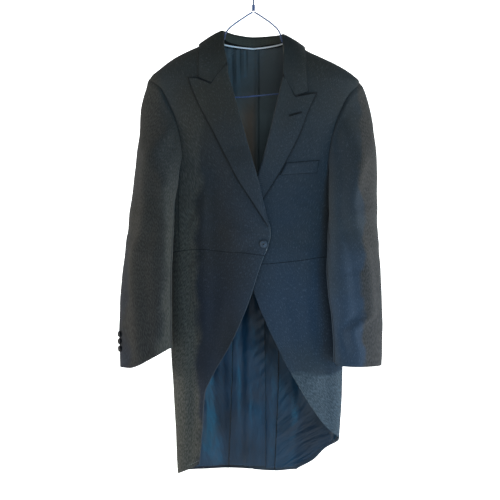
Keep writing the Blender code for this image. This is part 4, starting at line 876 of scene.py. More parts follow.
def cloth(name, outer, inner, surface, seams=(), slot="charcoal_wool", replaces=(), rests_on=(),
          rim=TIP, grain=0.0, reach=SEAM_REACH, touch=0.0):
    """A thin closed shell between two nets, with a rounded rim; its cut is printed."""
    rows, columns = outer.shape[:2]
    u, v = run_along(outer, axis=1), run_along(outer)
    # The seam mark darkens the colour near seams and edges as painted shade.
    mark = seam_mark(u, v, seams, reach)
    # Painted shade (+) and painted light (-) from the caller replace a weaker seam mark.
    mark = np.where(mark > np.abs(touch), mark, touch)
    at = np.arange(rows * columns).reshape(rows, columns)
    under = at + at.size
    faces = [net_quads(at), net_quads(under)[:, ::-1]]
    loop = [(0, c) for c in range(columns)] + [(r, columns - 1) for r in range(1, rows)]
    loop += [(rows - 1, c) for c in range(columns - 2, -1, -1)]
    loop += [(r, 0) for r in range(rows - 2, 0, -1)]
    r, c = np.array(loop).T
    flat = np.stack([u, v], axis=-1)
    points, flats = [outer.reshape(-1, 3), inner.reshape(-1, 3)], [flat.reshape(-1, 2)] * 2
    marks = [mark.ravel()] * 2
    out = outer[r, c] - outer[np.clip(r, 1, rows - 2), np.clip(c, 1, columns - 2)]
    out /= np.maximum(np.linalg.norm(out, axis=1), 1e-9)[:, None]
    previous = at[r, c]
    for number, step in enumerate((1 / 3, 2 / 3)):
        bulge = rim * math.sin(step * PI)
        points.append(outer[r, c] * (1 - step) + inner[r, c] * step + out * bulge)
        flats.append(flat[r, c])
        marks.append(mark[r, c])
        ring = 2 * at.size + number * len(r) + np.arange(len(r))
        faces.append(rim_quads(previous, ring))
        previous = ring
    faces.append(rim_quads(previous, under[r, c]))
    flats = np.concatenate(flats)
    if grain:
        turn = np.array([[math.cos(grain), -math.sin(grain)], [math.sin(grain), math.cos(grain)]])
        flats = flats @ turn.T
    piece = add_piece(name, np.concatenate(points), np.concatenate(faces), surface, flats,
                      np.concatenate(marks), replaces)
    declare_sheet(piece, outer, u, v)
    return piece

# %% [markdown]
# ## Materials
#
# The wool is a dark pick-and-pick: charcoal with fine light and dark flecks and a faint twill. It
# looks brown where warm light grazes it and blue where it faces the window, partly from the lamps
# and partly as painted light in its colour. The lining is a navy satin, smoother one way than the
# other. All patterns come from the cloth's own flat pattern.

# %% Material helpers
def feed(tree, node, values):
    """Values or links for a node's inputs."""
    for key, value in values.items():
        if isinstance(value, bpy.types.NodeSocket):
            tree.links.new(value, node.inputs[key])
        else:
            node.inputs[key].default_value = value


def put(tree, kind, values=None, **settings):
    """A node with settings, and values or links for its inputs."""
    made = tree.nodes.new(kind)
    for key, value in settings.items():
        setattr(made, key, value)
    feed(tree, made, values or {})
    return made


def surface(name):
    made = bpy.data.materials.new(name)
    made.use_nodes = True
    return made, made.node_tree, made.node_tree.nodes["Principled BSDF"]


def rgba(color, times=1.0):
    return tuple(v * times for v in color) + (1.0,)


def coordinates(tree):
    """Places on the flat pattern and on the coat."""
    return (put(tree, "ShaderNodeUVMap", uv_map="cloth").outputs["UV"],
            put(tree, "ShaderNodeTexCoord").outputs["Object"])


def axes(tree, place):
    return put(tree, "ShaderNodeSeparateXYZ", {"Vector": place}).outputs


def calculated(tree, operation, *values):
    """The result of a sum, a product or the like."""
    return put(tree, "ShaderNodeMath", dict(enumerate(values)),
               operation=operation).outputs["Value"]


def noise(tree, place, scale, detail=2.0, **more):
    return put(tree, "ShaderNodeTexNoise",
               {"Vector": place, "Scale": scale, "Detail": detail, **more}).outputs["Fac"]


def mixed(tree, factor, first, second, blend="MIX"):
    """A colour mix of two sockets or colours."""
    return put(tree, "ShaderNodeMix", {0: factor, 6: first, 7: second}, data_type="RGBA",
               blend_type=blend).outputs[2]


def ramp(tree, value, low, high):
    """A value stretched so that low is 0 and high is 1."""
    return put(tree, "ShaderNodeMapRange", {"Value": value, "From Min": low, "From Max": high},
               clamp=True).outputs["Result"]


def seam_shade(tree, base, amount, color):
    """A colour darkened as painted shade where the seam mark is above 0, or paled as painted light
    below 0 by a negative amount.
    """
    seam = put(tree, "ShaderNodeAttribute", attribute_name="seam").outputs["Fac"]
    return mixed(tree, calculated(tree, "MULTIPLY", seam, amount), base, color)


# %% [markdown]
# ## Wool
#
# Each yarn of a pick-and-pick is dyed before weaving, so dark and light flecks lie side by side.
# The wool's tone is painted in as light where the light falls strongly: browner on the sleeves'
# outer sides and on the right skirt beside the sleeve, paler blue on the left skirt's lower corner,
# all with uneven edges.

# %% Wool
# Places of painted light: colour, amount, and for each axis where the painting is absent and where
# it is full
PAINTED_LIGHT_ZONES = (
    ((0.034, 0.035, 0.031), 0.9, (("X", -0.118, -0.132), ("X", -0.215, -0.195), ("Y", 0.04, 0.0),
                                  ("Z", -0.28, -0.60))),
    ((0.0175, 0.0175, 0.0155), 0.75, (("X", -0.195, -0.215), ("X", -0.290, -0.278))),
    ((0.025, 0.024, 0.022), 0.85, (("X", 0.238, 0.246),)),
    ((0.031, 0.044, 0.055), 0.85, (("X", 0.050, 0.062), ("X", 0.225, 0.215), ("Z", -0.905, -0.914),
                                   ("Y", 0.04, 0.0))),
)
SWAY_SCALE, SWAY = 11.0, -0.07
COOL, WARM, DARK_FLECK_AND_SHADE = (0.0168, 0.0196, 0.0234), (0.0180, 0.0185, 0.0185), (0.004, 0.005, 0.006)
LIGHT_YARN, PAINTED_LIGHT_WOOL = (0.060, 0.066, 0.074), (0.065, 0.068, 0.066)
# Tints multiplied in by place as painted light: darker and bluer low on the right, much bluer and
# lighter low on the left, warmer at the chest.
LOW_RIGHT, LOW_LEFT, CHEST = (0.68, 0.74, 0.88), (1.02, 1.40, 1.82), (0.92, 0.93, 0.80)


def swayed(tree, place, value):
    """A coordinate shifted by slow noise, so that what it limits has an uneven edge."""
    shift = calculated(tree, "SUBTRACT", noise(tree, place, SWAY_SCALE), 0.5)
    return calculated(tree, "MULTIPLY_ADD", shift, SWAY, value)


def faded(tree, base, place, grain):
    """Wool with its places of painted light laid over it, grained like the yarn."""
    along = axes(tree, place)
    for color, share, limits in PAINTED_LIGHT_ZONES:
        for axis, far, near in limits:
            share = calculated(tree, "MULTIPLY", share,
                               ramp(tree, swayed(tree, place, along[axis]), far, near))
        base = mixed(tree, share, base, mixed(tree, grain, rgba(color, 0.65), rgba(color, 1.4)))
    return base


def wool_material(name, lighter=1.0):
    made, tree, shader = surface(name)
    flat, place = coordinates(tree)
    twill = put(tree, "ShaderNodeTexWave", {"Vector": flat, "Scale": 260.0, "Distortion": 0.6,
                                            "Detail": 1.0}, bands_direction="DIAGONAL").outputs
    fleck = noise(tree, flat, 460.0, Roughness=0.7)
    stretched = put(tree, "ShaderNodeMapping", {"Vector": flat, "Scale": (440.0, 140.0, 1.0)})
    streak = noise(tree, stretched.outputs["Vector"], 1.0, 1.0)
    drift, light = noise(tree, place, 5.0), rgba(LIGHT_YARN, lighter)
    base = mixed(tree, ramp(tree, drift, 0.42, 0.62), rgba(COOL, lighter), rgba(WARM, lighter))
    base = mixed(tree, ramp(tree, fleck, 0.60, 1.50), base, light)
    # Dark flecks of the yarn.
    base = mixed(tree, ramp(tree, fleck, 0.45, 0.20), base, rgba(DARK_FLECK_AND_SHADE))
    base = mixed(tree, ramp(tree, streak, 0.55, 1.25), base, light)
    base = mixed(tree, 0.16, base, twill["Color"], "OVERLAY")
    # Negative marks pale the wool as painted light: a highlight along the right front's edge and
    # the collar's stand.
    base = seam_shade(tree, base, -1.0, rgba(PAINTED_LIGHT_WOOL))
    # Tints by place, multiplied in as painted light.
    along = axes(tree, place)
    low = mixed(tree, ramp(tree, along["X"], -0.05, 0.05), rgba(LOW_RIGHT), rgba(LOW_LEFT))
    grade = mixed(tree, ramp(tree, along["Z"], -0.75, -0.22), low, rgba(CHEST))
    base = mixed(tree, 1.0, base, grade, "MULTIPLY")
    # Places of painted light: browner on the sleeves and beside the right sleeve, paler blue low on
    # the left skirt.
    base = faded(tree, base, place, ramp(tree, streak, 0.36, 0.64))
    bump = put(tree, "ShaderNodeBump", {"Height": twill["Fac"], "Strength": 0.25,
                                        "Distance": 0.00012})
    # Seam marks darken the wool as painted shade.
    feed(tree, shader, {"Base Color": seam_shade(tree, base, 0.85, rgba(DARK_FLECK_AND_SHADE)),
                        "Normal": bump.outputs["Normal"], "Roughness": 0.88,
                        "Specular IOR Level": 0.05, "Sheen Weight": 0.04, "Sheen Roughness": 0.5,
                        "Sheen Tint": rgba((0.55, 0.60, 0.68))})
    return made


WOOL_CLOTH = wool_material("wool")
# The covered buttons' wool is 1.7 times lighter, as painted light on their domes.
COVERED_WOOL = wool_material("button_wool", 1.7)
print("wool of", len(WOOL_CLOTH.node_tree.nodes), "nodes")

# %% [markdown]
# ## Satin, plastic, horn and thread
#
# Satin floats its yarns over many others, so it shines along them. Seen through the neck, the
# lining is greyer towards the neck; below that it is painted brownish on the right and blue on the
# left, as painted reflection of the light there. Plastic, horn and thread are one colour with a
# slight unevenness, which is enough at their size.

# %% Satin and small things
GREY_MIDDLE, BLUE_MIDDLE = (0.105, 0.090, 0.078), (0.066, 0.088, 0.098)
GREY_NECK, SATIN_SHADE = (0.046, 0.057, 0.063), (0.001, 0.002, 0.003)
UNEVEN = 0.1


def satin_material(name, color, sheen, rough, ripple, grey_neck_and_painted_reflection=False):
    made, tree, shader = surface(name)
    flat, place = coordinates(tree)
    base = mixed(tree, ramp(tree, noise(tree, place, 12.0), 0.35, 0.65), rgba(color, 0.55),
                 rgba(color))
    along = axes(tree, place)
    # Painted reflection below the neck: brownish on the right, blue on the left; greyer towards the
    # neck.
    if grey_neck_and_painted_reflection:
        middle = mixed(tree, ramp(tree, along["X"], -0.004, 0.012), rgba(GREY_MIDDLE),
                       rgba(BLUE_MIDDLE))
        base = mixed(tree, ramp(tree, along["Z"], -0.72, -0.55), base, middle)
        base = mixed(tree, ramp(tree, along["Z"], -0.32, -0.26), base, rgba(GREY_NECK))
    stretch = put(tree, "ShaderNodeMapping", {"Vector": flat, "Rotation": (0.0, 0.0, 0.6),
                                              "Scale": (26.0, 11.0, 1.0)})
    soft = noise(tree, stretch.outputs["Vector"], 1.0, 3.0, Roughness=0.55)
    weave = put(tree, "ShaderNodeTexWave", {"Vector": flat, "Scale": 500.0})
    fine = put(tree, "ShaderNodeBump", {"Height": weave.outputs["Fac"], "Strength": 0.15,
                                        "Distance": 0.0001})
    bump = put(tree, "ShaderNodeBump", {"Height": soft, "Strength": ripple, "Distance": 0.010,
                                        "Normal": fine.outputs["Normal"]})
    gloss = put(tree, "ShaderNodeMapRange", {"Value": along["Z"], "From Min": -0.75,
                                             "From Max": -0.45, "To Min": 0.21, "To Max": 0.07})
    feed(tree, shader, {"Base Color": seam_shade(tree, base, 0.8, rgba(SATIN_SHADE)),
                        "Normal": bump.outputs["Normal"], "Roughness": rough, "Anisotropic": 0.5,
                        "Specular IOR Level": gloss.outputs["Result"], "Sheen Weight": sheen,
                        "Sheen Tint": rgba((0.45, 0.65, 0.85))})
    return made


def smooth_material(name, color, rough, coat=0.0, gloss=0.5):
    """Dyed plastic, horn or thread, a little uneven."""
    made, tree, shader = surface(name)
    drift = noise(tree, put(tree, "ShaderNodeTexCoord").outputs["Object"], 180.0, 3.0)
    other = tuple(min(1.0, v * 1.6 + 0.004) for v in color) + (1.0,)
    uneven = put(tree, "ShaderNodeMapRange", {"Value": drift, "To Min": rough - UNEVEN,
                                              "To Max": rough + UNEVEN})
    feed(tree, shader, {"Base Color": mixed(tree, ramp(tree, drift, 0.35, 0.75), rgba(color),
                                            other),
                        "Roughness": uneven.outputs["Result"], "Coat Weight": coat,
                        "Specular IOR Level": gloss})
    return made


SATIN_LINING = satin_material("satin", (0.0015, 0.0190, 0.0420), 0.03, 0.32, 0.42, True)
WHITE_SATIN = satin_material("piping_satin", (0.62, 0.65, 0.68), 0.2, 0.32, 0.1)
HORN = smooth_material("horn", (0.002, 0.002, 0.0025), 0.40, gloss=0.08)
COATING = smooth_material("blue_plastic", (0.008, 0.028, 0.090), 0.35, 0.1)
THREAD = smooth_material("thread", (0.004, 0.005, 0.006), 0.7, gloss=0.05)
PALE_THREAD = smooth_material("pale_thread", (0.10, 0.115, 0.12), 0.7)
print(len(bpy.data.materials), "materials")

# %% [markdown]
# ## Fronts, side bodies, backs and skirts
#
# The shell of the coat. The right front laps over the left and carries the button. Below the waist
# seam the skirts swing back, and the two backs run down into the tails with a vent between them.
# Net lines follow the cut edges, so each seam is where two rims meet.

# %% Fronts
# Painted shade under the lapels' edges and, on the left, under the right front's edge; a painted
# highlight along the right front's own edge.
LAPEL_SHADE, LAPEL_SHADE_REACH = 0.85, 0.0045
LAP_SHADE, LAP_SHADE_REACH = 0.95, 0.0030
PAINTED_EDGE_HIGHLIGHT, PAINTED_EDGE_HIGHLIGHT_REACH = -0.5, 0.0014


def name_of(part, side):
    return part + "_" + side_name(side)


def rows_of(*counts):
    return tuple(max(2, int(count * FINE)) for count in counts)


def wool_shell(part, side, share, drop, lift, seams, rests_on, **more):
    """A cut of wool at its places, named after the solid that it dresses."""
    name = name_of(part, side)
    return cloth(name + "_cloth", skin(share, drop, lift), skin(share, drop, lift - WOOL),
                 WOOL_CLOTH, seams, replaces=(name,), rests_on=(rests_on,), **more)


def front_net(side):
    top, front_end, _, waist, _ = arm_rows(side)
    down = steps_between((NECK_DROP["side"], top, front_end, waist), rows_of(34, 46, 44))
    down = np.unique(np.concatenate([down, [0.002, 0.998]]))
    across = edge_steps(64, (0.004, 0.012))
    return grid(front_inner(side), front_outer(side), neck_front(side),
                moved(waist_line(side), -SEAM / 2), across, down)


def touched(side, share, drop):
    """Painted shade (+) where a lapel's edge or the right front lies, a painted highlight (-) along
    the right front's own edge.
    """
    edge = np.abs(share - down_line(side, LAPEL_EDGE[side])(drop)) * half_girth(drop)
    length = (drop > LAPEL_TOP[side][-1].drop) & (drop < LAPEL_END[side] - 0.01)
    shade = LAPEL_SHADE * (1 - ease(edge / LAPEL_SHADE_REACH)) * length
    far = np.abs(share - front_inner(RIGHT)(drop)) * half_girth(drop)
    if side == RIGHT:
        return np.where(shade > 0, shade, PAINTED_EDGE_HIGHLIGHT * (1 - ease(far / PAINTED_EDGE_HIGHLIGHT_REACH)))
    return np.maximum(shade, LAP_SHADE * (1 - ease(far / LAP_SHADE_REACH)))


for side in (RIGHT, LEFT):
    share, drop = front_net(side)
    wool_shell("front", side, share, drop, front_lift(side, share, drop), ("end", "bottom"),
               name_of("hanger_arm", side), reach=0.0010, touch=touched(side, share, drop))

# %% [markdown]
# ## Side bodies
#
# A coat that fits the waist has a narrow panel under each arm. Its back seam curves towards the
# middle, and that curve is what pulls the waist in.

# %% Side bodies
for side in (RIGHT, LEFT):
    inner = seam_gap(down_line(side, SIDE_SEAM[side]), side, 1)
    outer = seam_gap(down_line(side, BACK_SEAM[side]), side, -1)
    share, drop = grid(inner, outer, cross_line(side, ARM_BASE[side]),
                       moved(waist_line(side), -SEAM / 2), edge_steps(44, (0.008, 0.02)),
                       edge_steps(44, (0.008,)))
    wool_shell("side_body", side, share, drop, 0.0, ("start", "end", "top", "bottom"),
               name_of("front", side) + "_cloth")

# %% [markdown]
# ## Skirts
#
# The skirt is sewn to the front and the side body at the waist, and to the tail at the back, where
# a pleat is pressed. The whole cutaway curve is its front edge.

# %% Skirts
HEM_ROWS, HEM_RUN = 0.8, 0.2
PLEAT_DEPTH, PLEAT_WIDTH, PLEAT_TOP, PLEAT_RUN = 0.0011, 0.005, 0.655, 0.03


def skirt_net(side, hem_up=0.0, across=None, down=None):
    """A skirt's places, with its last rows drawn up from the hem."""
    outer = seam_gap(down_line(side, BACK_SEAM[side]), side, -1)
    across = edge_steps(96, (0.003, 0.008)) if across is None else across
    down = edge_steps(120, (0.002, 0.006)) if down is None else down
    share, drop = grid(front_inner(side), outer, moved(waist_line(side), SEAM / 2),
                       cross_line(side, HEM[side]), across, down)
    return share, drop - hem_up * ease((down[:, None] - HEM_ROWS) / HEM_RUN)


def tail_pleat(side, share, drop, way):
    """The pressed pleat at the tail's seam: the skirt dips under, the tail lies over it."""
    seam = down_line(side, BACK_SEAM[side])(drop)
    far = np.abs(share - seam) * half_girth(drop)
    return way * PLEAT_DEPTH * np.exp(-far / PLEAT_WIDTH) * ease((drop - PLEAT_TOP) / PLEAT_RUN)


for side in (RIGHT, LEFT):
    share, drop = skirt_net(side)
    lift = front_lift(side, share, drop) + tail_pleat(side, share, drop, -1)
    wool_shell("skirt", side, share, drop, lift, ("end", "top"), name_of("front", side) + "_cloth",
               reach=0.0010, touch=touched(side, share, drop))

# %% [markdown]
# ## Backs and tails
#
# Each back is one long piece from the shoulder to the hem of the tail. The two are sewn together
# down to the waist. Below it the right one goes on under the left one as the vent's underlap.

# %% Backs and tails
def back_net(side, *counts, across):
    top, _, back_end, _, waist = arm_rows(side)
    down = steps_between((NECK_DROP["side"], top, back_end, waist, HEM[side][-2].drop),
                         rows_of(*counts))
    return grid(back_inner(side), back_outer(side), neck_back(side), cross_line(side, HEM[side]),
                across, down)


def tucked(side, share, drop):
    """The lift of a back's cloth: only the right tail has an underlap."""
    return vent_tuck(share, drop) if side == RIGHT else 0.0


for side in (RIGHT, LEFT):
    share, drop = back_net(side, 26, 36, 40, 80, across=edge_steps(44, (0.006, 0.02)))
    lift = tucked(side, share, drop) + tail_pleat(side, share, drop, 1)
    wool_shell("back", side, share, drop, lift, ("start", "end"), name_of("hanger_arm", side))

# %% [markdown]
# ## Lapels and collar
#
# A good lapel isn't pressed flat: it rolls out of the front edge in a curve as thick as a pencil
# and settles on the chest. The net starts inside the coat, goes round the roll, and then lies over
# the front. The collar does the same round the neck, from the stand inside to the leaf outside.

# %% Lapels
ROLL_RADIUS, ROLL_SHARE, ROLL_STEPS, ROLL_FLAT = 0.0046, 0.4, 14, 0.9
LAPEL_SWELL, SWELL_REACH = 0.0025, 0.03
LAPEL_CURL, CURL_START, CURL_RUN = 0.0018, 0.02, 0.05
FLAT_RUN, UNDER_ROLL, PRESSED_IN = 0.05, 0.0008, 0.001


def rolled(side, drop):
    """1 where the lapel rolls, falling to 0 at its lower end, where it is pressed flat."""
    return 1 - ease((drop - LAPEL_END[side] + FLAT_RUN) / FLAT_RUN)


def lapel_lift(side, share, drop):
    """How far a lapel's outer face stands off the body: a belly by the roll, a lifted edge."""
    far = np.abs(share - down_line(side, ROLL[side])(drop)) * half_girth(drop)
    belly = LAPEL_SWELL * np.exp(-far / SWELL_REACH)
    curl = LAPEL_CURL * ease((far - CURL_START) / CURL_RUN)
    return front_lift(side, share, drop) + LIE + (belly + curl) * rolled(side, drop)


def lapel_net(side):
    """From inside the front edge round the roll and over the chest to the lapel's edge."""
    roll, edge = down_line(side, ROLL[side]), down_line(side, LAPEL_EDGE[side])

    def start(drop):
        room = np.abs(edge(drop) - roll(drop)) * half_girth(drop)
        return roll(drop) + side * np.minimum(ROLL_RADIUS, ROLL_SHARE * room) / half_girth(drop)
    share, drop = grid(start, edge, straight_line(side, LAPEL_TOP[side]), level(LAPEL_END[side]),
                       edge_steps(40, (0.006, 0.02)), edge_steps(120, (0.002, 0.006)))
    lift = lapel_lift(side, share, drop)
    first, row = share[:, :1], drop[:, :1]
    inside = (front_lift(side, first, row) - WOOL - UNDER_ROLL) * rolled(side, row)
    inside += (lift[:, :1] - PRESSED_IN) * (1 - rolled(side, row))
    radius = np.abs(first - roll(row)) * half_girth(row)
    turn = np.linspace(0, PI, ROLL_STEPS)[None, :-1]
    around = radius * (1 - np.sin(turn)) + radius * ROLL_FLAT * ease(1 - turn / 0.6)
    high = (lift[:, :1] + inside) / 2 - (lift[:, :1] - inside) / 2 * np.cos(turn)
    row = np.broadcast_to(row, around.shape)
    round_share = roll(row) + side * around / half_girth(row)
    return (np.concatenate([round_share, share], axis=1), np.concatenate([row, drop], axis=1),
            np.concatenate([high, lift], axis=1))


for side in (RIGHT, LEFT):
    outer = skin(*lapel_net(side))
    inner = outer - WOOL * side * net_normals(outer, closed=False)
    name = name_of("lapel", side)
    cloth(name + "_cloth", outer, inner, WOOL_CLOTH, ("end", "top"), replaces=(name,),
          rests_on=(name_of("front", side) + "_cloth",), rim=0.0008, grain=0.35 * side,
          reach=0.0028)

# %% [markdown]
# ## Collar
#
# The collar is one piece folded along a line: the leaf falls outside, the stand goes down inside to
# the neck seam. It is stretched with an iron until it lies round the neck. Each row of its net is
# one such fold, from the leaf's edge up over the top and down to the stand's foot.

# %% Collar
COLLAR_LIFTS = {"fold": 0.0042, "middle": 0.0052, "edge": 0.0036}
LEAF_ROWS, TURN_ROWS, STAND_ROWS = int(22 * FINE), int(12 * FINE), int(12 * FINE)
FOLD_RISE, FOLD_DIP, STAND_SPREAD, FLAP_DEPTH = 0.0011, 0.0006, 0.0045, 0.012
# Along the collar a station is a row of its table, counted from the nearer end
INWARD_FROM, INWARD_RUN, LEAST_INWARD = 1.2, 1.8, 0.01
SHOULDER_ROW, SPREAD_RUN, STAND_FROM, STAND_RUN = 3, 2, 2, 0.5


def along_line(points, at):
    """A smooth line through points, read at stations."""
    stations = np.arange(len(points))
    return np.stack([smooth(stations, points[:, k], at) for k in range(3)], axis=-1)


def collar_point(place, side, lift):
    """A collar mark: a point in the air, or one laid on the front."""
    if place[0] == "lay":
        share = share_at(side, Mark("front", place[1], place[2]))
        return skin(np.array([share]), np.array([place[2]]), lift)[0]
    return np.array([place[0], place[1], -place[2]])


def collar_net():
    """From the leaf's edge up over the fold and down inside to the stand's foot."""
    rows = [(RIGHT, row) for row in COLLAR[RIGHT]] + [(LEFT, row) for row in COLLAR[LEFT][::-1]]
    last = len(rows) - 1
    stations = np.unique(np.concatenate([np.linspace(0, last, int(200 * FINE)), [0.01, 0.03],
                                         last - np.array([0.01, 0.03])]))
    fold, middle, edge = (
        along_line(np.array([collar_point(getattr(row, name), side, lift) for side, row in rows]),
                   stations) for name, lift in COLLAR_LIFTS.items())
    from_end = np.minimum(stations, last - stations)
    ends = ease(1 - from_end)[None, :, None]
    s = np.linspace(1, 0.04, LEAF_ROWS)[:, None, None]
    bowed = fold * (1 - s) * (1 - 2 * s) + middle * 4 * s * (1 - s) + edge * s * (2 * s - 1)
    first = fold + (middle - fold) * np.minimum(2 * s, 1)
    straight = first + (edge - middle) * np.maximum(2 * s - 1, 0)
    leaf = straight * ends + bowed * (1 - ends)
    back = ease((from_end - INWARD_FROM) / INWARD_RUN)
    aim = -fold * np.stack([back, np.ones_like(back), 0 * back], axis=1)
    ahead = np.maximum(aim[:, 1], LEAST_INWARD)
    aim[:, 1] = np.where(from_end < SHOULDER_ROW, ahead, aim[:, 1])
    aim = unit(aim)
    rise = np.array([0.0, 0.0, 1.0])
    thick = 2 * WOOL + GAP
    turn = np.linspace(0.15, PI, TURN_ROWS)[:, None, None]
    over = fold + aim * thick / 2 * (1 - np.cos(turn))
    over = over + rise * (FOLD_RISE * np.sin(turn) - FOLD_DIP)
    spread = STAND_SPREAD * ease((from_end - SHOULDER_ROW) / SPREAD_RUN)[:, None]
    foot = fold + aim * (WOOL + GAP) + aim * spread
    depth = smooth(np.arange(last + 1), [row.foot for _, row in rows], stations)
    flap = -fold[:, 2] + FLAP_DEPTH
    stand_down = flap + (depth - flap) * ease((from_end - STAND_FROM) / STAND_RUN)
    foot[:, 2] = -np.where(from_end < STAND_FROM + STAND_RUN, stand_down, depth)
    foot = foot + aim * WOOL
    down = np.linspace(0.12, 1, STAND_ROWS)[:, None, None]
    stand = over[-1] + (foot - over[-1]) * down
    return np.concatenate([leaf, over, stand])


COLLAR_NET = outer = collar_net()
normal = net_normals(outer, closed=False)
centre = outer[2] - np.array([0.0, 0.0, -0.30])
normal *= np.sign((normal[2] * centre).sum())
# The collar's last rows, round the stand, are paled by a negative mark as painted light.
row = np.arange(len(outer))[:, None] - (len(outer) - int(14 * FINE))
cloth("collar_cloth", outer, outer - WOOL * normal, WOOL_CLOTH, ("top", "start", "end"),
      replaces=("collar_leaf", "collar_stand"), rests_on=("back_left_cloth", "back_right_cloth"),
      rim=0.0008, grain=0.5, reach=0.0026, touch=-0.55 * ease(row / 5))

# %% [markdown]
# ## Sleeves
#
# Each sleeve is two pieces sewn into a bent tube: a wide top sleeve and a narrow under sleeve. It
# is set into the armhole with a little more cloth than the hole, so the head stands up slightly at
# the shoulder. The elbow is creased where an arm has bent it.

# %% Sleeve nets
SHOULDER_DROP, SHOULDER_RUN = 0.30, 0.15


def sleeve_value(side, column, drop):
    """One column of a sleeve's measures at any drop."""
    return read_table(SLEEVE[side], column, drop)


def tube(side, angle, drop):
    """Points of a sleeve's hanging tube: angle 0 is outermost and 90 degrees the front."""
    outer, inner = sleeve_value(side, "outer", drop), sleeve_value(side, "inner", drop)
    reach = (outer - inner) / 2
    x = (outer + inner) / 2 + reach * np.cos(angle)
    middle, depth = sleeve_value(side, "middle", drop), sleeve_value(side, "depth", drop)
    y = middle - depth * np.sin(angle) + SLEEVE_SKEW * reach * np.cos(angle)
    return np.stack([side * x, y, -drop], axis=-1)


def kept_off(points, gap):
    """Sleeve points moved out where they would come nearer the body than the gap."""
    flat, gap = points.reshape(-1, 3), np.broadcast_to(gap, points.shape[:-1]).ravel()
    drop = -flat[:, 2]
    width = np.where(flat[:, 0] > 0, section("left", drop), section("right", drop)) + gap
    depth = np.where(flat[:, 1] < 0, section("front", drop), section("back", drop)) + gap
    power = section("square", drop)
    size = (np.abs(flat[:, 0] / width) ** power + np.abs(flat[:, 1] / depth) ** power)
    grow = 1 / np.minimum(size ** (1 / power), 1.0)
    return (flat * np.stack([grow, grow, np.ones(len(grow))], axis=1)).reshape(points.shape)


def sleeve_middle(side, drop):
    """The middle line of a sleeve."""
    drop = np.maximum(drop, SHOULDER_DROP)
    x = (sleeve_value(side, "outer", drop) + sleeve_value(side, "inner", drop)) / 2
    low = ease((drop - SHOULDER_DROP) / SHOULDER_RUN)
    return np.stack([side * x, sleeve_value(side, "middle", drop) * low, -drop], axis=-1)


print("right sleeve at the elbow", tube(RIGHT, 0.0, np.array([0.58])).round(3).tolist())

# %% [markdown]
# ## Folds of the sleeves
#
# Sleeves keep the folds of the arm: short ridges across the elbow, and long soft ones that run down
# to the cuff and wander where the arm bends. Each is placed by its drop and by its angle round the
# tube, 0 degrees outermost and 90 in front.

# %% Sleeve folds
SLANT = 0.0002
FOLD_AHEAD, FOLD_RISING, FOLDS_END, FOLD_DYING = 0.06, 0.08, 0.90, 0.05
ELBOWS = (
    # side, drop, angle in degrees, length down, width round, height
    (RIGHT, 0.560, 60, 0.012, 50, 0.0022), (RIGHT, 0.600, 40, 0.014, 60, -0.0024),
    (RIGHT, 0.640, 70, 0.012, 45, 0.0018), (RIGHT, 0.520, 110, 0.012, 45, -0.0016),
    (RIGHT, 0.360, 130, 0.018, 30, 0.0020), (RIGHT, 0.440, 150, 0.020, 40, -0.0020),
    (RIGHT, 0.760, 90, 0.020, 60, 0.0014), (RIGHT, 0.590, -60, 0.012, 60, 0.0018),
    (LEFT, 0.550, 60, 0.012, 50, 0.0022), (LEFT, 0.590, 90, 0.014, 60, -0.0026),
    (LEFT, 0.632, 50, 0.012, 45, 0.0020), (LEFT, 0.680, 100, 0.012, 45, -0.0020),
    (LEFT, 0.370, 130, 0.018, 30, 0.0020), (LEFT, 0.450, 150, 0.020, 40, -0.0018),
    (LEFT, 0.745, 90, 0.016, 50, 0.0020), (LEFT, 0.600, -70, 0.012, 60, 0.0018),
)


def turn_away(angle, middle):
    """How far two angles are apart, in degrees."""
    return np.abs((np.degrees(angle) - middle + 180) % 360 - 180)


def sleeve_creases(side, angle, drop):
    """Ridges and troughs across the bend of the arm, dying out round the tube."""
    height = np.zeros(np.broadcast(angle, drop).shape)
    for one, middle, turn, tall, wide, rise in ELBOWS:
        if one == side:
            slant = (np.degrees(angle) - turn) * SLANT
            away = bell(drop - middle - slant, tall)
            height += rise * away * bell(turn_away(angle, turn), wide)
    return height


LONG_FOLDS = (
    # side, places as drop and angle in degrees, width in degrees, height
    (LEFT, ((0.37, 58), (0.47, 78), (0.543, 92), (0.60, 80), (0.681, 62), (0.773, 60),
            (0.819, 104), (0.87, 88)), 13, 0.0058),
    (LEFT, ((0.37, 88), (0.47, 108), (0.543, 122), (0.60, 112), (0.681, 96), (0.773, 94),
            (0.819, 132), (0.87, 120)), 12, -0.0034),
    (RIGHT, ((0.36, 70), (0.46, 62), (0.56, 74), (0.66, 60), (0.76, 70), (0.86, 76)), 14, 0.0042),
    (RIGHT, ((0.36, 100), (0.46, 92), (0.56, 104), (0.66, 92), (0.76, 100), (0.86, 104)), 13,
     -0.0018),
    (LEFT, ((0.40, -60), (0.60, -75), (0.85, -65)), 16, 0.0024),
    (RIGHT, ((0.40, -60), (0.60, -72), (0.85, -62)), 16, 0.0024),
)


def long_folds(side, angle, drop):
    """Soft folds that run down the sleeve and wander a little at the elbow."""
    height = np.zeros(np.broadcast(angle, drop).shape)
    for one, places, wide, rise in LONG_FOLDS:
        if one == side:
            drops, turns = zip(*places)
            middle = smooth(drops, turns, drop)
            window = ease((drop - drops[0] + FOLD_AHEAD) / FOLD_RISING)
            window = window * ease((FOLDS_END - drop) / FOLD_DYING)
            height += rise * bell(turn_away(angle, middle), wide) * window
    return height


print(len(ELBOWS), "elbow creases and", len(LONG_FOLDS), "long folds")

# %% [markdown]
# ## Setting the sleeves in
#
# A tailor runs an easing thread round the sleeve's head, draws it up and sews it into the armhole.
# The first rows of each net are that allowance, under the armhole's edge. The next ones turn
# outwards over the seam, and within a hand's breadth the cloth hangs as a free tube.

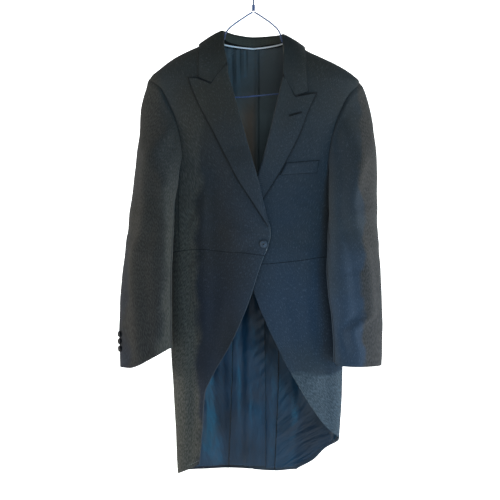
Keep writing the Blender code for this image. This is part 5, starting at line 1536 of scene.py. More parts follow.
# %% Sleeve pieces
TOP_SHARE = 6 / 11
ALLOWANCE = ((-0.0030, -WOOL - 0.0008), (-0.0012, -WOOL - 0.0006), (0.0006, -0.0012))
UNDER_ARM, UNDER_ARM_RUN, UNDER_ARM_LIFT, HEAD_LIFT = 0.30, 0.14, 0.0026, 0.0006
HOLE_MIDDLE, SHARE_WIDTH, CUFF_LEVEL, CLEAR_RUN = 0.37, 0.5, 0.88, 0.025
ROPING, ROPING_AT, ROPING_WIDTH, CREASES_FROM = 0.0016, 0.009, 0.007, 0.04
SEAM_DIP, SEAM_DIP_WIDTH = 0.0006, 0.0016


def sewn_in(side, share, drop, low):
    """Rows of the sleeve's allowance, from under the armhole's edge out to the seam."""
    return [skin(*drawn_in(side, share, drop, by), lift + UNDER_ARM_LIFT * low * (lift > -WOOL))
            for by, lift in ALLOWANCE]


def drawn_in(side, share, drop, by):
    """Armhole points drawn inside the hole, or outside it where the distance is negative."""
    middle_share = share_at(side, at_side(HOLE_MIDDLE)[0])
    aside, below = (share - middle_share) * SHARE_WIDTH, drop - HOLE_MIDDLE
    shrink = 1 - by / np.hypot(aside, below)
    return middle_share + aside * shrink / SHARE_WIDTH, HOLE_MIDDLE + below * shrink


def sleeve_net(side, across, share, start, top_angle, cuff_angle):
    """Outer points of a sleeve piece, from the armhole down to the cuff."""
    low = ease((start - UNDER_ARM) / UNDER_ARM_RUN)
    under = sewn_in(side, share, start, low)
    share, start = drawn_in(side, share, start, HOLE_INSET)
    down = edge_steps(118, (0.0015, 0.006, 0.014))[:, None]
    trim = np.zeros(len(across))
    trim[[0, -1]] = SLEEVE_TRIM * np.sign(top_angle[-1] - top_angle[0]) * np.array([1, -1])
    angle = top_angle + (cuff_angle - top_angle) * ease(down) + trim
    reach, cuff_drop = zip(*CUFF[side])
    near_cuff = np.abs(tube(side, cuff_angle, np.full(len(share), CUFF_LEVEL))[:, 0])
    end = smooth(reach, cuff_drop, near_cuff)
    drop = start + down * (end - start)
    seam = skin(share, start, HEAD_LIFT + UNDER_ARM_LIFT * low)
    weight = 1 - ease((drop - start) / SLEEVE_BLEND)
    points = tube(side, angle, drop) + weight[:, :, None] * (seam - tube(side, top_angle, start))
    near = ease((drop - start) / CLEAR_RUN)
    points = kept_off(points, SLEEVE_CLEAR * near + SEAM * (1 - near))
    out = net_normals(points, closed=False)
    middle = sleeve_middle(side, -points[:, :, 2])
    out *= np.sign((out * (points - middle)).sum(axis=2).mean())
    roping = ROPING * bell(drop - start - ROPING_AT, ROPING_WIDTH) * (1 - low)
    calm = ease((drop - start) / CREASES_FROM)
    creases = sleeve_creases(side, angle, drop) + long_folds(side, angle, drop)
    lift = roping + (creases + relief(points, 0.0006, 0.09, 5)) * calm
    along = run_along(points, axis=1)
    edge = np.minimum(along, along[:, -1:] - along)
    lift -= SEAM_DIP * np.exp(-edge / SEAM_DIP_WIDTH) * calm
    points = np.concatenate([np.array(under), points + lift[:, :, None] * out])
    return points, np.concatenate([out[:1].repeat(len(under), axis=0), out])


def top_sleeve(side, across):
    """Places round the upper armhole with their angles at the armhole and at the cuff."""
    top, front_end, back_end, _, _ = arm_rows(side)
    front, back = down_line(side, ARM_FRONT[side]), down_line(side, ARM_BACK[side])
    rise = np.clip(across / TOP_SHARE, 0, 1)
    fall = np.clip((across - TOP_SHARE) / (1 - TOP_SHARE), 0, 1)
    up = across < TOP_SHARE
    drop = np.where(up, front_end + (top - front_end) * rise, top + (back_end - top) * fall)
    share = np.where(up, front(drop), back(drop))
    high = np.where(up, FRONT_SEAM_ANGLE * (1 - rise), BACK_SEAM_ANGLE_TOP * fall)
    low = FRONT_SEAM_ANGLE + (BACK_SEAM_ANGLE_CUFF[side] - FRONT_SEAM_ANGLE) * across
    return share, drop, high, low


def under_sleeve(side, across):
    """Places round the armhole's base with their angles at the armhole and at the cuff."""
    inner, outer = down_line(side, SIDE_SEAM[side]), down_line(side, BACK_SEAM[side])
    share, drop = grid(inner, outer, cross_line(side, ARM_BASE[side]),
                       moved(waist_line(side), 0.0), 1 - across, np.array([0.0, 1.0]))
    far = FRONT_SEAM_ANGLE - 2 * PI
    high = BACK_SEAM_ANGLE_TOP + (far - BACK_SEAM_ANGLE_TOP) * across
    low = BACK_SEAM_ANGLE_CUFF[side] + (far - BACK_SEAM_ANGLE_CUFF[side]) * across
    return share[0], drop[0], high, low


for side in (RIGHT, LEFT):
    for part, places, count in (("sleeve_top", top_sleeve, 72), ("sleeve_under", under_sleeve, 36)):
        across = edge_steps(count, (0.006, 0.014))
        share, drop, high, low = places(side, across)
        outer, out = sleeve_net(side, across, share, drop, high, low)
        name = name_of(part, side)
        cloth(name + "_cloth", outer, outer - WOOL * out, WOOL_CLOTH, ("start", "end"),
              replaces=(name,), rests_on=(name_of("front", side) + "_cloth",))

# %% [markdown]
# ## Breast welt
#
# The breast pocket shows only as its welt, a folded strip set into the left front on a slight
# slant. Its ends are stitched down, so it stands proud by little more than its own cloth.

# %% Breast welt
WELT_WIDE, WELT_TALL, WELT_PUFF, WELT_ROUND = 0.076, 0.027, 0.0009, 0.004


def welt_net():
    """Places between the welt's four corners, and how much its middle is puffed up."""
    corners = [(share_at(LEFT, mark), mark.drop) for mark in WELT_TOP + WELT_BOTTOM]
    (a, b), (c, d), (e, f), (g, h) = corners
    u, v = edge_steps(40, (0.01, 0.03))[None, :], edge_steps(16, (0.03, 0.10))[:, None]
    share = (a + (c - a) * u) * (1 - v) + (e + (g - e) * u) * v
    drop = (b + (d - b) * u) * (1 - v) + (f + (h - f) * u) * v
    edge = np.minimum(np.minimum(u, 1 - u) * WELT_WIDE, np.minimum(v, 1 - v) * WELT_TALL)
    return share, drop, WELT_PUFF * ease(edge / WELT_ROUND) - GAP


share, drop, puffed = welt_net()
cloth("breast_welt_cloth", skin(share, drop, GAP + WELT_THICK + puffed), skin(share, drop, GAP),
      WOOL_CLOTH, ("start", "end", "top", "bottom"), replaces=("breast_welt",),
      rests_on=("front_left_cloth",), rim=0.0003)

# %% [markdown]
# ## Linings
#
# Satin lines the back from the neck to the waist, and the skirts and tails below it. A lining is
# cut wider than the cloth so that it never pulls, and the spare width shows as a pleat down the
# middle and as gathers under the neck seam.

# %% Back lining
PLEATED, SIDE_MARGIN, NECK_TURNED = (0.35, 0.58), 0.0075, 0.0045
PLEAT_SHADE = 700
Pleat = namedtuple("Pleat", "top bottom start end width height")
PLEATS = rows_as(
    Pleat,
    (0.150, 0.320, -0.060, -0.052, 0.0060, 0.0036),
    (0.150, 0.300, -0.041, -0.037, 0.0050, 0.0044),
    (0.150, 0.330, -0.0495, -0.0455, 0.0038, -0.0015),
    (0.150, 0.250, -0.022, -0.021, 0.0040, 0.0030),
    (0.150, 0.260, -0.0310, -0.0300, 0.0022, -0.0012),
    (0.150, 0.240, -0.0155, -0.0150, 0.0022, -0.0011),
    (0.150, 0.700, 0.0073, 0.0073, 0.0036, 0.0024),
    (0.150, 0.700, 0.0125, 0.0125, 0.0020, -0.0013),
    (0.150, 0.215, 0.034, 0.033, 0.0050, 0.0017),
    (0.150, 0.240, 0.060, 0.040, 0.0050, 0.0024),
    (0.150, 0.200, 0.020, 0.021, 0.0030, 0.0010),
    (0.150, 0.185, 0.046, 0.048, 0.0030, 0.0010),
    (0.300, 0.640, -0.034, -0.020, 0.0090, 0.0016),
    (0.320, 0.620, 0.030, 0.018, 0.0080, 0.0012),
)


def pleat_height(share, drop):
    """How far the back lining's gathers and centre pleat stand out into the coat."""
    across = looked_up(NET, share, drop)[..., 0]
    height = np.zeros(share.shape)
    for pleat in PLEATS:
        along = (drop - pleat.top) / (pleat.bottom - pleat.top)
        place = pleat.start + (pleat.end - pleat.start) * along
        shape = bell(across - place, pleat.width)
        height += pleat.height * shape * ease(along * 6 + 0.5) * ease((1 - along) * 1.5)
    return height


def back_lining_net():
    """From armhole to armhole across both backs, with most columns where the pleats are."""
    right, left = back_outer(RIGHT), back_outer(LEFT)
    low, high = PLEATED
    middle = np.concatenate([np.linspace(0, low, int(24 * FINE), endpoint=False),
                             np.linspace(low, high, int(130 * FINE), endpoint=False),
                             np.linspace(high, 1, int(32 * FINE))])
    across = middle * (1 - 2 * SIDE_MARGIN) + SIDE_MARGIN
    across = np.unique(np.concatenate([across, [0.010, 0.990]]))
    neck_right, neck_left = neck_back(RIGHT), neck_back(LEFT)
    waist = arm_rows(LEFT)[-1]

    def neck(share):
        return np.where(share > -1, neck_right(share), neck_left(share + 2)) + NECK_TURNED
    down = np.unique(np.concatenate([np.linspace(0, 1, int(130 * FINE)), [0.003, 0.008, 0.997]]))
    return grid(right, lambda drop: left(drop) - 2, neck, level(waist - 2 * SEAM), across, down)


share, drop = back_lining_net()
inward = skin(share, drop, -1.0) - skin(share, drop)
folds = pleat_height(share, drop)
outer = skin(share, drop, -BACK_LINING_LIE) + inward * folds[:, :, None]
# The pleats' troughs are darkened by the mark as painted shade.
cloth("lining_back_cloth", outer, outer + inward * SATIN, SATIN_LINING, ("top", "bottom"),
      slot="navy_satin", replaces=("lining_back",),
      rests_on=("back_left_cloth", "back_right_cloth"), rim=0.0003,
      touch=np.clip(-folds * PLEAT_SHADE, 0, 0.9))

# %% [markdown]
# ## Linings of the skirts and tails
#
# Below the waist each cut has its own lining, sewn along the front edge and felled 7 mm above the
# hem. It hangs a little loose, so it ripples lengthwise, and puckers along the vent, where the
# thread is drawn tight.

# %% Skirt and tail linings
RIPPLES, RIPPLE_HEIGHT, RIPPLE_FROM, RIPPLE_RUN = 6, 0.00016, 0.68, 0.08
FACING_SHARE, FACING_START = 0.94, 0.058
TAIL_HEM_FROM, TAIL_HEM_RUN = 0.95, 0.2
PUCKER_WAVE, PUCKER_SLANT, PUCKER_REACH, PUCKERED = 0.026, 0.35, 0.012, {RIGHT: 1.0, LEFT: 0.3}
PUCKER_TOP, PUCKER_RISE, PUCKER_END, PUCKER_FALL = 0.72, 0.04, 1.0, 0.1


def lining_ripple(share, drop, seed):
    """Soft lengthwise ripples of a lining that hangs a little loose."""
    chance = np.random.default_rng(seed)
    height = np.zeros(np.shape(share))
    for _ in range(RIPPLES):
        phase, count = chance.uniform(0, 2 * PI), chance.uniform(40, 120)
        lean = chance.uniform(-12, 12)
        height += np.sin(share * count + drop * lean + phase)
    soft = relief(skin(share, drop) * np.array([1.0, 1.0, 0.7]), 0.0009, 0.085, seed)
    return (height * RIPPLE_HEIGHT + soft) * ease((drop - RIPPLE_FROM) / RIPPLE_RUN)


def lining_shell(part, cover, side, share, drop, lift):
    """A cut of lining at its places, resting on the wool that it covers."""
    name = "lining_" + name_of(part, side)
    cloth(name + "_cloth", skin(share, drop, lift), skin(share, drop, lift - SATIN), SATIN_LINING,
          ("start", "end", "top"), slot="navy_satin", replaces=(name,),
          rests_on=(name_of(cover, side) + "_cloth",), rim=GAP)


def vent_pucker(side, share, drop):
    """The puckers along the vent, full on the right tail and faint on the left one."""
    pucker = PUCKER * np.sin((drop - share * PUCKER_SLANT) * 2 * PI / PUCKER_WAVE)
    pucker *= ease((drop - PUCKER_TOP) / PUCKER_RISE) * ease((PUCKER_END - drop) / PUCKER_FALL)
    near = np.exp(-np.abs(share - back_inner(side)(drop)) * half_girth(drop) / PUCKER_REACH)
    return pucker * near * PUCKERED[side]


down = edge_steps(96, (0.004,))
for side in (RIGHT, LEFT):
    facing = edge_steps(72, (0.004,)) * FACING_SHARE + FACING_START
    share, drop = skirt_net(side, LINING_ABOVE_HEM, across=facing, down=down)
    drop = drop + 2 * SEAM * (1 - down)[:, None]
    lift = front_lift(side, share, drop) - LINING_LIE - LINING_LOOSE
    lift = lift + tail_pleat(side, share, drop, -1) + lining_ripple(share, drop, 11 + side)
    lining_shell("skirt", "skirt", side, share, drop, lift)

    share, drop = back_net(side, 4, 4, 4, 110, across=edge_steps(40, (0.01, 0.03)))
    start = int(np.searchsorted(drop[:, -1], arm_rows(side)[-1] + 0.0005))
    share, drop = share[start:], drop[start:]
    drop = drop - LINING_ABOVE_HEM * ease((drop - TAIL_HEM_FROM) / TAIL_HEM_RUN)
    lift = tucked(side, share, drop) - LINING_LIE - LINING_LOOSE + vent_pucker(side, share, drop)
    lift = lift + lining_ripple(share, drop, 21 + side)
    lining_shell("tail", "back", side, share, drop, lift)

# %% [markdown]
# ## Rods: piping, hanger wires
#
# A cord or wire is a circle swept along a line. The frame is carried from point to point without
# twisting, and both ends are closed with a small dome.

# %% Rods
ROD_SIDES, TIP_REACH = 16, 0.8
DOME = ((0.35, 0.94), (0.75, 0.66), (0.95, 0.30))


def capped_rings(count, around):
    """Faces of a stack of rings; the two points after the rings close its ends."""
    at = np.arange(count * around).reshape(count, around)
    faces = net_quads(at, closed=True).tolist()
    faces += [[at.size, int(a), int(b)] for a, b in zip(at[0], np.roll(at[0], -1))]
    faces += [[at.size + 1, int(b), int(a)] for a, b in zip(at[-1], np.roll(at[-1], -1))]
    return faces


def carried_frames(path):
    """Two directions square to a path at each point, without twist."""
    ahead = unit(np.gradient(path, axis=0))
    start = np.cross(ahead[0], [0.0, 0.0, 1.0])
    if np.linalg.norm(start) < 0.1:
        start = np.cross(ahead[0], [1.0, 0.0, 0.0])
    aside = [unit(start)]
    for way in ahead[1:]:
        aside.append(unit(aside[-1] - way * (aside[-1] @ way)))
    aside = np.array(aside)
    return aside, np.cross(ahead, aside), ahead


def rod(name, path, radius, surface, slot, replaces=()):
    """A round rod along a path; the radius may change on the way."""
    path = np.asarray(path, float)
    radius = np.broadcast_to(np.asarray(radius, float), len(path)).copy()
    aside, up, ahead = carried_frames(path)
    first = [(path[0] - ahead[0] * radius[0] * h * TIP_REACH, radius[0] * w, 0) for w, h in
             np.array(DOME)]
    last = [(path[-1] + ahead[-1] * radius[-1] * h * TIP_REACH, radius[-1] * w, -1)
            for w, h in np.array(DOME)[::-1]]
    rings = first + [(p, r, k) for k, (p, r) in enumerate(zip(path, radius))] + last
    turn = np.linspace(0, 2 * PI, ROD_SIDES, endpoint=False)[:, None]
    points = [p + r * (np.cos(turn) * aside[k] + np.sin(turn) * up[k]) for p, r, k in rings]
    tips = [path[0] - ahead[0] * radius[0] * TIP_REACH,
            path[-1] + ahead[-1] * radius[-1] * TIP_REACH]
    points = np.concatenate(points + [np.array(tips)])
    run = run_along(path)
    run = np.concatenate([[run[0]] * len(DOME), run, [run[-1]] * len(DOME)])
    flat = np.stack([np.repeat(run[:, None], ROD_SIDES, 1),
                     np.repeat(turn.T, len(rings), 0) * radius.mean()], axis=-1).reshape(-1, 2)
    flat = np.concatenate([flat, [[0, 0], [run[-1], 0]]])
    return add_piece(name, points, capped_rings(len(rings), ROD_SIDES), surface, flat,
                     np.zeros(len(points)), replaces)


def even_path(points, step):
    """A smooth line through points, with points about one step apart."""
    points = np.asarray(points, float)
    fine = along_line(points, np.linspace(0, len(points) - 1, len(points) * 24))
    run = run_along(fine)
    at = np.linspace(0, run[-1], max(3, int(run[-1] / step)))
    return np.stack([np.interp(at, run, fine[:, k]) for k in range(3)], axis=-1)


print("rings of a path of 0.1 m:", len(even_path([(0, 0, 0), (0.1, 0, 0)], 0.01)))

# %% [markdown]
# ## Neck piping
#
# A white cord covered with bias satin is caught in the neck seam. Bias cloth ruckles as it turns,
# so the cord's thickness goes up and down a little along its length.

# %% Neck piping
PIPING_STEP, RUCKLE, RUCKLE_TURN = 0.0012, 0.00012, 1.9


def neck_seam(at):
    """Points on the inside of the back's neck seam: at runs from -1, right, to 1, left."""
    side = np.where(at < 0, -1.0, 1.0)
    corner = at_side(NECK_DROP["side"])[0]
    ridge = np.where(at < 0, share_at(RIGHT, corner), share_at(LEFT, corner))
    share = side + (ridge - side) * np.abs(at)
    rise = np.abs(at) ** 1.25
    drop = NECK_DROP["back"] + (NECK_DROP["side"] - NECK_DROP["back"]) * rise
    return skin(share, drop, -PIPING_IN)


path = even_path(neck_seam(np.linspace(-PIPING_REACH, PIPING_REACH, 33)), PIPING_STEP)
path[:, 2] -= PIPING_BELOW
wave = np.sin(np.arange(len(path)) * RUCKLE_TURN) * RUCKLE
rod("neck_piping_cord", path, PIPING_RADIUS + wave, WHITE_SATIN, "white_satin", ("neck_piping",))

# %% [markdown]
# ## Hanger
#
# Two steel wires are bent to a hook, twisted together under it, spread to the shoulders and joined
# by the bar. The whole is dipped in blue plastic, so every bend is soft and thick.

# %% Hanger wires
WIRE = 0.0018
WIRE_LIFT = WOOL + GAP + SATIN + GAP + WIRE + 0.0004
HOOK_RADIUS, HOOK_TIP_ANGLE, HOOK_BACK_ANGLE = 0.018, 205, -52
HOOK_NECK = ((0.0072, 0.0415), (0.0030, 0.0485), (0.0005, 0.0560), (0.0, 0.0640), (0.0, 0.0697))
TWIST_OFFSET, TWIST_TURNS = 0.0021, 2.5
TWIST_TOP, TWIST_BOTTOM = 0.0704, 0.0858
ARM_START, ARM_REACH, BAR_INSET, SLOPING = 0.098, 0.196, 0.0064, 10
CORNER_OUT, CORNER_ROUND, CORNER_IN = (0.007, 0.009, 0.005), 0.010, 0.004
WIRED = (WIRE, COATING, "blue_coating")

middle = HOOK_RADIUS + WIRE
turns = np.radians(np.linspace(HOOK_TIP_ANGLE, HOOK_BACK_ANGLE, 24))
route = [(middle * math.cos(t), 0.0, -HOOK_RADIUS + middle * math.sin(t)) for t in turns]
route += [(x, 0.0, -drop) for x, drop in HOOK_NECK]
rod("hanger_hook_wire", even_path(route, 0.0014), *WIRED, ("hanger_hook",))

turn = np.linspace(0, TWIST_TURNS * 2 * PI, 90)
height = np.linspace(-TWIST_TOP - WIRE, -TWIST_BOTTOM + WIRE, 90)
for number, phase in enumerate((0.0, PI)):
    strand = np.stack([TWIST_OFFSET * np.cos(turn + phase), TWIST_OFFSET * np.sin(turn + phase),
                       height], axis=-1)
    rod(f"hanger_twist_strand_{number + 1}", strand, *WIRED, ("hanger_twist",))


def shoulder_wire(side, reach):
    """The middle of the hanger's wire under the shoulder seam, at a distance to the side."""
    drop = read_table(BODY[:SLOPING], "drop", reach, by=side_name(side))
    ridge = np.array([share_at(side, mark) for mark in at_side(*drop.tolist())])
    return skin(ridge, drop, -WIRE_LIFT)


for side in (RIGHT, LEFT):
    start = [(bend.x, 0.0, -bend.drop) for bend in ARM[side]]
    under = shoulder_wire(side, np.linspace(ARM_START, ARM_REACH, 7))
    end = under[-1]
    bar_end = next(bend for bend in BAR if bend.x == side * ARM_REACH)
    heights = (end[2] - CORNER_ROUND, (end[2] - bar_end.drop) / 2, -bar_end.drop + CORNER_ROUND)
    corner = [(end[0] + side * out, end[1], z) for out, z in zip(CORNER_OUT, heights)]
    corner.append((bar_end.x - side * CORNER_IN, 0.0, -bar_end.drop))
    name = name_of("hanger_arm", side)
    rod(name + "_wire", even_path(start + [tuple(p) for p in under] + corner, 0.002), *WIRED,
        (name,))
inset = ARM_REACH - BAR_INSET
reach = np.linspace(-inset, inset, 160)
drops = read_table(BAR, "drop", reach, by="x")
rod("hanger_bar_wire", np.stack([reach, 0 * reach, -drops], axis=-1), *WIRED, ("hanger_bar",))
print("hook", 2 * HOOK_RADIUS, "m wide inside, wire", 2 * WIRE, "m thick")

# %% [markdown]
# ## Buttons
#
# The front and the back waist have buttons covered in the coat's own wool, drawn tight over a
# domed form. The cuffs have dark horn buttons, turned with a rim and a dish and sewn through four
# holes. Both kinds are turned shapes about the axis they stand on.

# %% Button shapes
FRONT_BUTTON = (0.0226, 0.6211)
FRONT_BUTTON_RADIUS, FRONT_BUTTON_HEIGHT, BUTTON_SHANK = 0.0088, 0.0050, 0.0010
CUFF_BUTTON_RADIUS, CUFF_BUTTON_HEIGHT = 0.0070, 0.0040
CUFF_BUTTON_DROPS = {RIGHT: (0.8237, 0.8399, 0.8564), LEFT: (0.8290, 0.8450, 0.8610)}
CUFF_BUTTON_ANGLE = {RIGHT: math.radians(22), LEFT: math.radians(-30)}
TAIL_BUTTON_DROP, TAIL_BUTTON_X = 0.668, 0.040
TURNED_SIDES, TAIL_LIFT, CUFF_LIFT = 36, 2 * GAP + 0.0011, GAP + 0.0004
HORN_PLACES = []
# Profiles from the back to the front, in shares of the radius and of the height
COVERED = ((0.30, 0.0), (0.78, 0.0), (0.96, 0.14), (1.0, 0.34), (0.98, 0.52), (0.90, 0.72),
           (0.74, 0.87), (0.50, 0.96), (0.25, 0.995))
HORN_BUTTON = ((0.40, 0.0), (0.80, 0.0), (0.96, 0.20), (1.0, 0.45), (0.97, 0.74), (0.88, 0.92),
               (0.79, 0.97), (0.71, 0.90), (0.62, 0.76), (0.40, 0.72), (0.20, 0.72))


def turned(name, profile, radius, height, centre, axis, surface, slot, replaces):
    """A round piece turned about an axis, from its back at the centre to its front."""
    axis = unit(axis)
    aside = unit(np.cross(axis, [0.0, 0.0, 1.0]))
    upward = np.cross(axis, aside)
    turn = np.linspace(0, 2 * PI, TURNED_SIDES, endpoint=False)[:, None]
    ring = np.cos(turn) * aside + np.sin(turn) * upward
    points = np.concatenate([centre + radius * w * ring + height * h * axis for w, h in profile]
                            + [[centre, centre + height * profile[-1][1] * axis]])
    flat = np.concatenate([radius * w * np.concatenate([np.cos(turn), np.sin(turn)], axis=1)
                           for w, _ in profile] + [np.zeros((2, 2))])
    # The rim, the base and both centres are marked, so a covered button's wool is darkened there as
    # painted shade.
    mark = np.repeat([1.0 if w > 0.95 or h < 0.4 else 0.0 for w, h in profile], TURNED_SIDES)
    return add_piece(name, points, capped_rings(len(profile), TURNED_SIDES), surface, flat,
                     np.concatenate([mark, [1.0, 0.5]]), replaces)


def skin_normal(share, drop, lift):
    """A place on the body and the direction straight out of it."""
    here, out = skin(np.full(2, share), np.full(2, drop), lift + np.array([0, 0.01]))
    return here, unit(out - here)


print("button profiles of", len(COVERED), "and", len(HORN_BUTTON), "points")

# %% [markdown]
# ## Buttons where they are sewn
#
# The front button stands on a shank of thread, the two behind mark the top of the tail pleats, and
# each cuff has three in a row near its back seam. Every axis is square to the cloth underneath.

# %% Buttons in place
# Small steps round and down to the places beside a button, which give its axis
STEP_SHARE, STEP_ANGLE, STEP_DOWN = 0.02, 0.05, 0.01
x, drop = FRONT_BUTTON
share = share_at(RIGHT, Mark("front", x, drop))
shares, drops = share + np.array([0, STEP_SHARE, 0]), drop + np.array([0, 0, STEP_DOWN])
place, beside, under = skin(shares, drops, lap_lift(shares, drops))
axis = unit(np.cross(beside - place, place - under))
axis *= -np.sign(axis[1])
turned("button_front_covered", COVERED, FRONT_BUTTON_RADIUS, FRONT_BUTTON_HEIGHT,
       place + axis * BUTTON_SHANK, axis, COVERED_WOOL, "charcoal_wool", ("button_front",))
for side in (RIGHT, LEFT):
    share = share_at(side, Mark("back", side * TAIL_BUTTON_X, TAIL_BUTTON_DROP))
    place, axis = skin_normal(share, TAIL_BUTTON_DROP, TAIL_LIFT)
    name = name_of("button_tail", side)
    turned(name + "_covered", COVERED, FRONT_BUTTON_RADIUS, FRONT_BUTTON_HEIGHT, place, axis,
           COVERED_WOOL, "charcoal_wool", (name,))
    for number, drop in enumerate(CUFF_BUTTON_DROPS[side], 1):
        turns = CUFF_BUTTON_ANGLE[side] + np.array([0, STEP_ANGLE, 0])
        near, ahead, above = tube(side, turns, drop - np.array([0, 0, STEP_DOWN]))
        axis = unit(np.cross(ahead - near, above - near))
        axis *= np.sign(axis[0] * side)
        name = name_of("button_cuff", side) + "_" + str(number)
        HORN_PLACES.append((near + axis * CUFF_LIFT, axis))
        turned(name + "_horn", HORN_BUTTON, CUFF_BUTTON_RADIUS, CUFF_BUTTON_HEIGHT,
               *HORN_PLACES[-1], HORN, "dark_horn", (name,))
print(3 + len(HORN_PLACES), "buttons")

# %% [markdown]
# ## Threads
#
# Hand work is what tells a good coat: a buttonhole worked in silk, the rows that hold the stand,
# the crossed threads of the buttons. Each stitch is a short line; a rule turns every line into a
# rounded thread, thicker in its middle. Geometry nodes hold that rule once for all of them, and
# what they make is kept as a plain mesh.

# %% Thread rule
THREAD_POINTS, THREAD_SIDES, THIN_END, UNEVEN_THREAD = 6, 7, 0.55, 0.25


def thread_rule():
    """Short lines in, rounded threads out."""
    tree = bpy.data.node_groups.new("threads", "GeometryNodeTree")
    sockets = (("Lines", "NodeSocketGeometry"), ("Thickness", "NodeSocketFloat"),
               ("Unevenness", "NodeSocketFloat"), ("Seed", "NodeSocketInt"),
               ("Material", "NodeSocketMaterial"))
    for name, kind in sockets:
        tree.interface.new_socket(name, in_out="INPUT", socket_type=kind)
    tree.interface.new_socket("Threads", in_out="OUTPUT", socket_type="NodeSocketGeometry")
    given = tree.nodes.new("NodeGroupInput").outputs
    curves = put(tree, "GeometryNodeMeshToCurve", {"Mesh": given["Lines"]}).outputs["Curve"]
    curves = put(tree, "GeometryNodeResampleCurve", {"Curve": curves, "Count": THREAD_POINTS})
    curves = curves.outputs["Curve"]
    along = put(tree, "GeometryNodeSplineParameter").outputs["Factor"]
    full = calculated(tree, "SINE", calculated(tree, "MULTIPLY", along, PI))
    full = put(tree, "ShaderNodeMapRange", {"Value": full, "To Min": THIN_END, "To Max": 1.0})
    chance = put(tree, "FunctionNodeRandomValue", {"Seed": given["Seed"]}, data_type="FLOAT")
    less = calculated(tree, "MULTIPLY", chance.outputs[1], given["Unevenness"])
    keep = calculated(tree, "SUBTRACT", 1.0, less)
    size = calculated(tree, "MULTIPLY", full.outputs["Result"], keep)
    size = calculated(tree, "MULTIPLY", size, given["Thickness"])
    ring = put(tree, "GeometryNodeCurvePrimitiveCircle",
               {"Resolution": THREAD_SIDES, "Radius": 1.0})
    mesh = put(tree, "GeometryNodeCurveToMesh", {"Curve": curves, "Fill Caps": True,
                                                 "Profile Curve": ring.outputs["Curve"],
                                                 "Scale": size})
    dyed = put(tree, "GeometryNodeSetMaterial", {"Geometry": mesh.outputs["Mesh"],
                                                 "Material": given["Material"]})
    result = tree.nodes.new("NodeGroupOutput")
    tree.links.new(dyed.outputs["Geometry"], result.inputs["Threads"])
    return tree


THREADS = thread_rule()


def threads(name, lines, thickness, surface, seed):
    """One piece from many short lines, turned to mesh by the thread rule."""
    points = np.concatenate(lines)
    edges, first = [], 0
    for line in lines:
        edges += [(first + k, first + k + 1) for k in range(len(line) - 1)]
        first += len(line)
    mesh = bpy.data.meshes.new(name)
    mesh.from_pydata(points.tolist(), edges, [])
    source = in_scene(name + "_lines", mesh)
    rule = source.modifiers.new("threads", "NODES")
    rule.node_group = THREADS
    values = {"Thickness": thickness, "Unevenness": UNEVEN_THREAD, "Seed": seed,
              "Material": surface}
    for item in THREADS.interface.items_tree:
        if item.in_out == "INPUT" and item.name in values:
            rule[item.identifier] = values[item.name]
    seen = source.evaluated_get(bpy.context.evaluated_depsgraph_get())
    made = bpy.data.meshes.new_from_object(seen)
    made.name = name
    made.shade_smooth()
    bpy.data.objects.remove(source, do_unlink=True)
    piece = in_scene(name, made)
    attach(piece, "root")
    print(f"{name}: {len(lines)} stitches, {len(made.polygons)} faces")
    return piece

# %% [markdown]
# ## Buttonhole
#
# A lapel's buttonhole is worked by hand: close stitches over both lips of a cut, each with a knot
# at the edge. It is sewn shut on a coat like this one. A loose thread end hangs at the front edge.

# %% Buttonhole in the left lapel
HOLE_START, HOLE_END, HOLE_STITCHES = (0.0800, 0.3340), (0.1075, 0.3257), 38
LIP_INNER, LIP_OUTER, STITCH_BOW = 0.0002, 0.0020, 0.0006
END_DROP, END_RUN, END_IN, END_LIFT = 0.6345, 0.0022, 0.0016, 0.0004
END_LENGTH = np.array([0.0007, -0.0004, 0.0002])


def on_lapel(x, drop, lift):
    """Points above the left lapel's face."""
    share = np.array([share_at(LEFT, Mark("front", a, b)) for a, b in zip(x, drop)])
    return skin(share, drop, lapel_lift(LEFT, share, drop) + lift)


def arch(start, end, rise, count=5):
    """A stitch from one point to another, bowed off the cloth."""
    t = np.linspace(0, 1, count)[:, None]
    return start * (1 - t) + end * t + rise * np.sin(t * PI)


t = np.linspace(0, 1, HOLE_STITCHES)
x = HOLE_START[0] + (HOLE_END[0] - HOLE_START[0]) * t
drop = HOLE_START[1] + (HOLE_END[1] - HOLE_START[1]) * t
middle, raised = on_lapel(x, drop, 0.0001), on_lapel(x, drop, 0.0007)
ahead = np.gradient(middle, axis=0)
out = unit(raised - middle)
aside = unit(np.cross(ahead, out))
lines = []
for k in range(len(t)):
    for way in (-1, 1):
        lines.append(arch(middle[k] + way * LIP_INNER * aside[k],
                          middle[k] + way * LIP_OUTER * aside[k], out[k] * STITCH_BOW))
threads("lapel_buttonhole", lines, 0.00052, THREAD, 3)
drop = END_DROP + END_RUN * np.linspace(-1, 1, 6)
share = front_inner(RIGHT)(drop) + RIGHT * END_IN / half_girth(drop)
end = skin(share, drop, front_lift(RIGHT, share, drop) + END_LIFT)
threads("front_thread_end", [end, end + END_LENGTH], 0.0004, PALE_THREAD, 4)

# %% [markdown]
# ## Rows that hold the stand
#
# Inside the neck three rows of small stitches hold the stand's canvas to its cloth. They follow
# the collar's own net, a few rows above its foot.

# %% Rows that hold the collar stand
STAND_STITCH_ROWS, SEEN_FROM, SEEN_TO = (-3, -6, -9), 0.31, 0.69
STITCH_STEP, STITCH_STANDS_OFF = 4, 0.0002
lines = []
for row in STAND_STITCH_ROWS:
    face = COLLAR_NET[row]
    for k in range(int(len(face) * SEEN_FROM), int(len(face) * SEEN_TO), STITCH_STEP):
        inward = -unit(face[k + 1] * np.array([1, 1, 0]))
        lines.append(arch(face[k], face[k + 2], 0 * inward, 3) + inward * STITCH_STANDS_OFF)
threads("stand_stitches", lines, 0.00025, THREAD, 5)

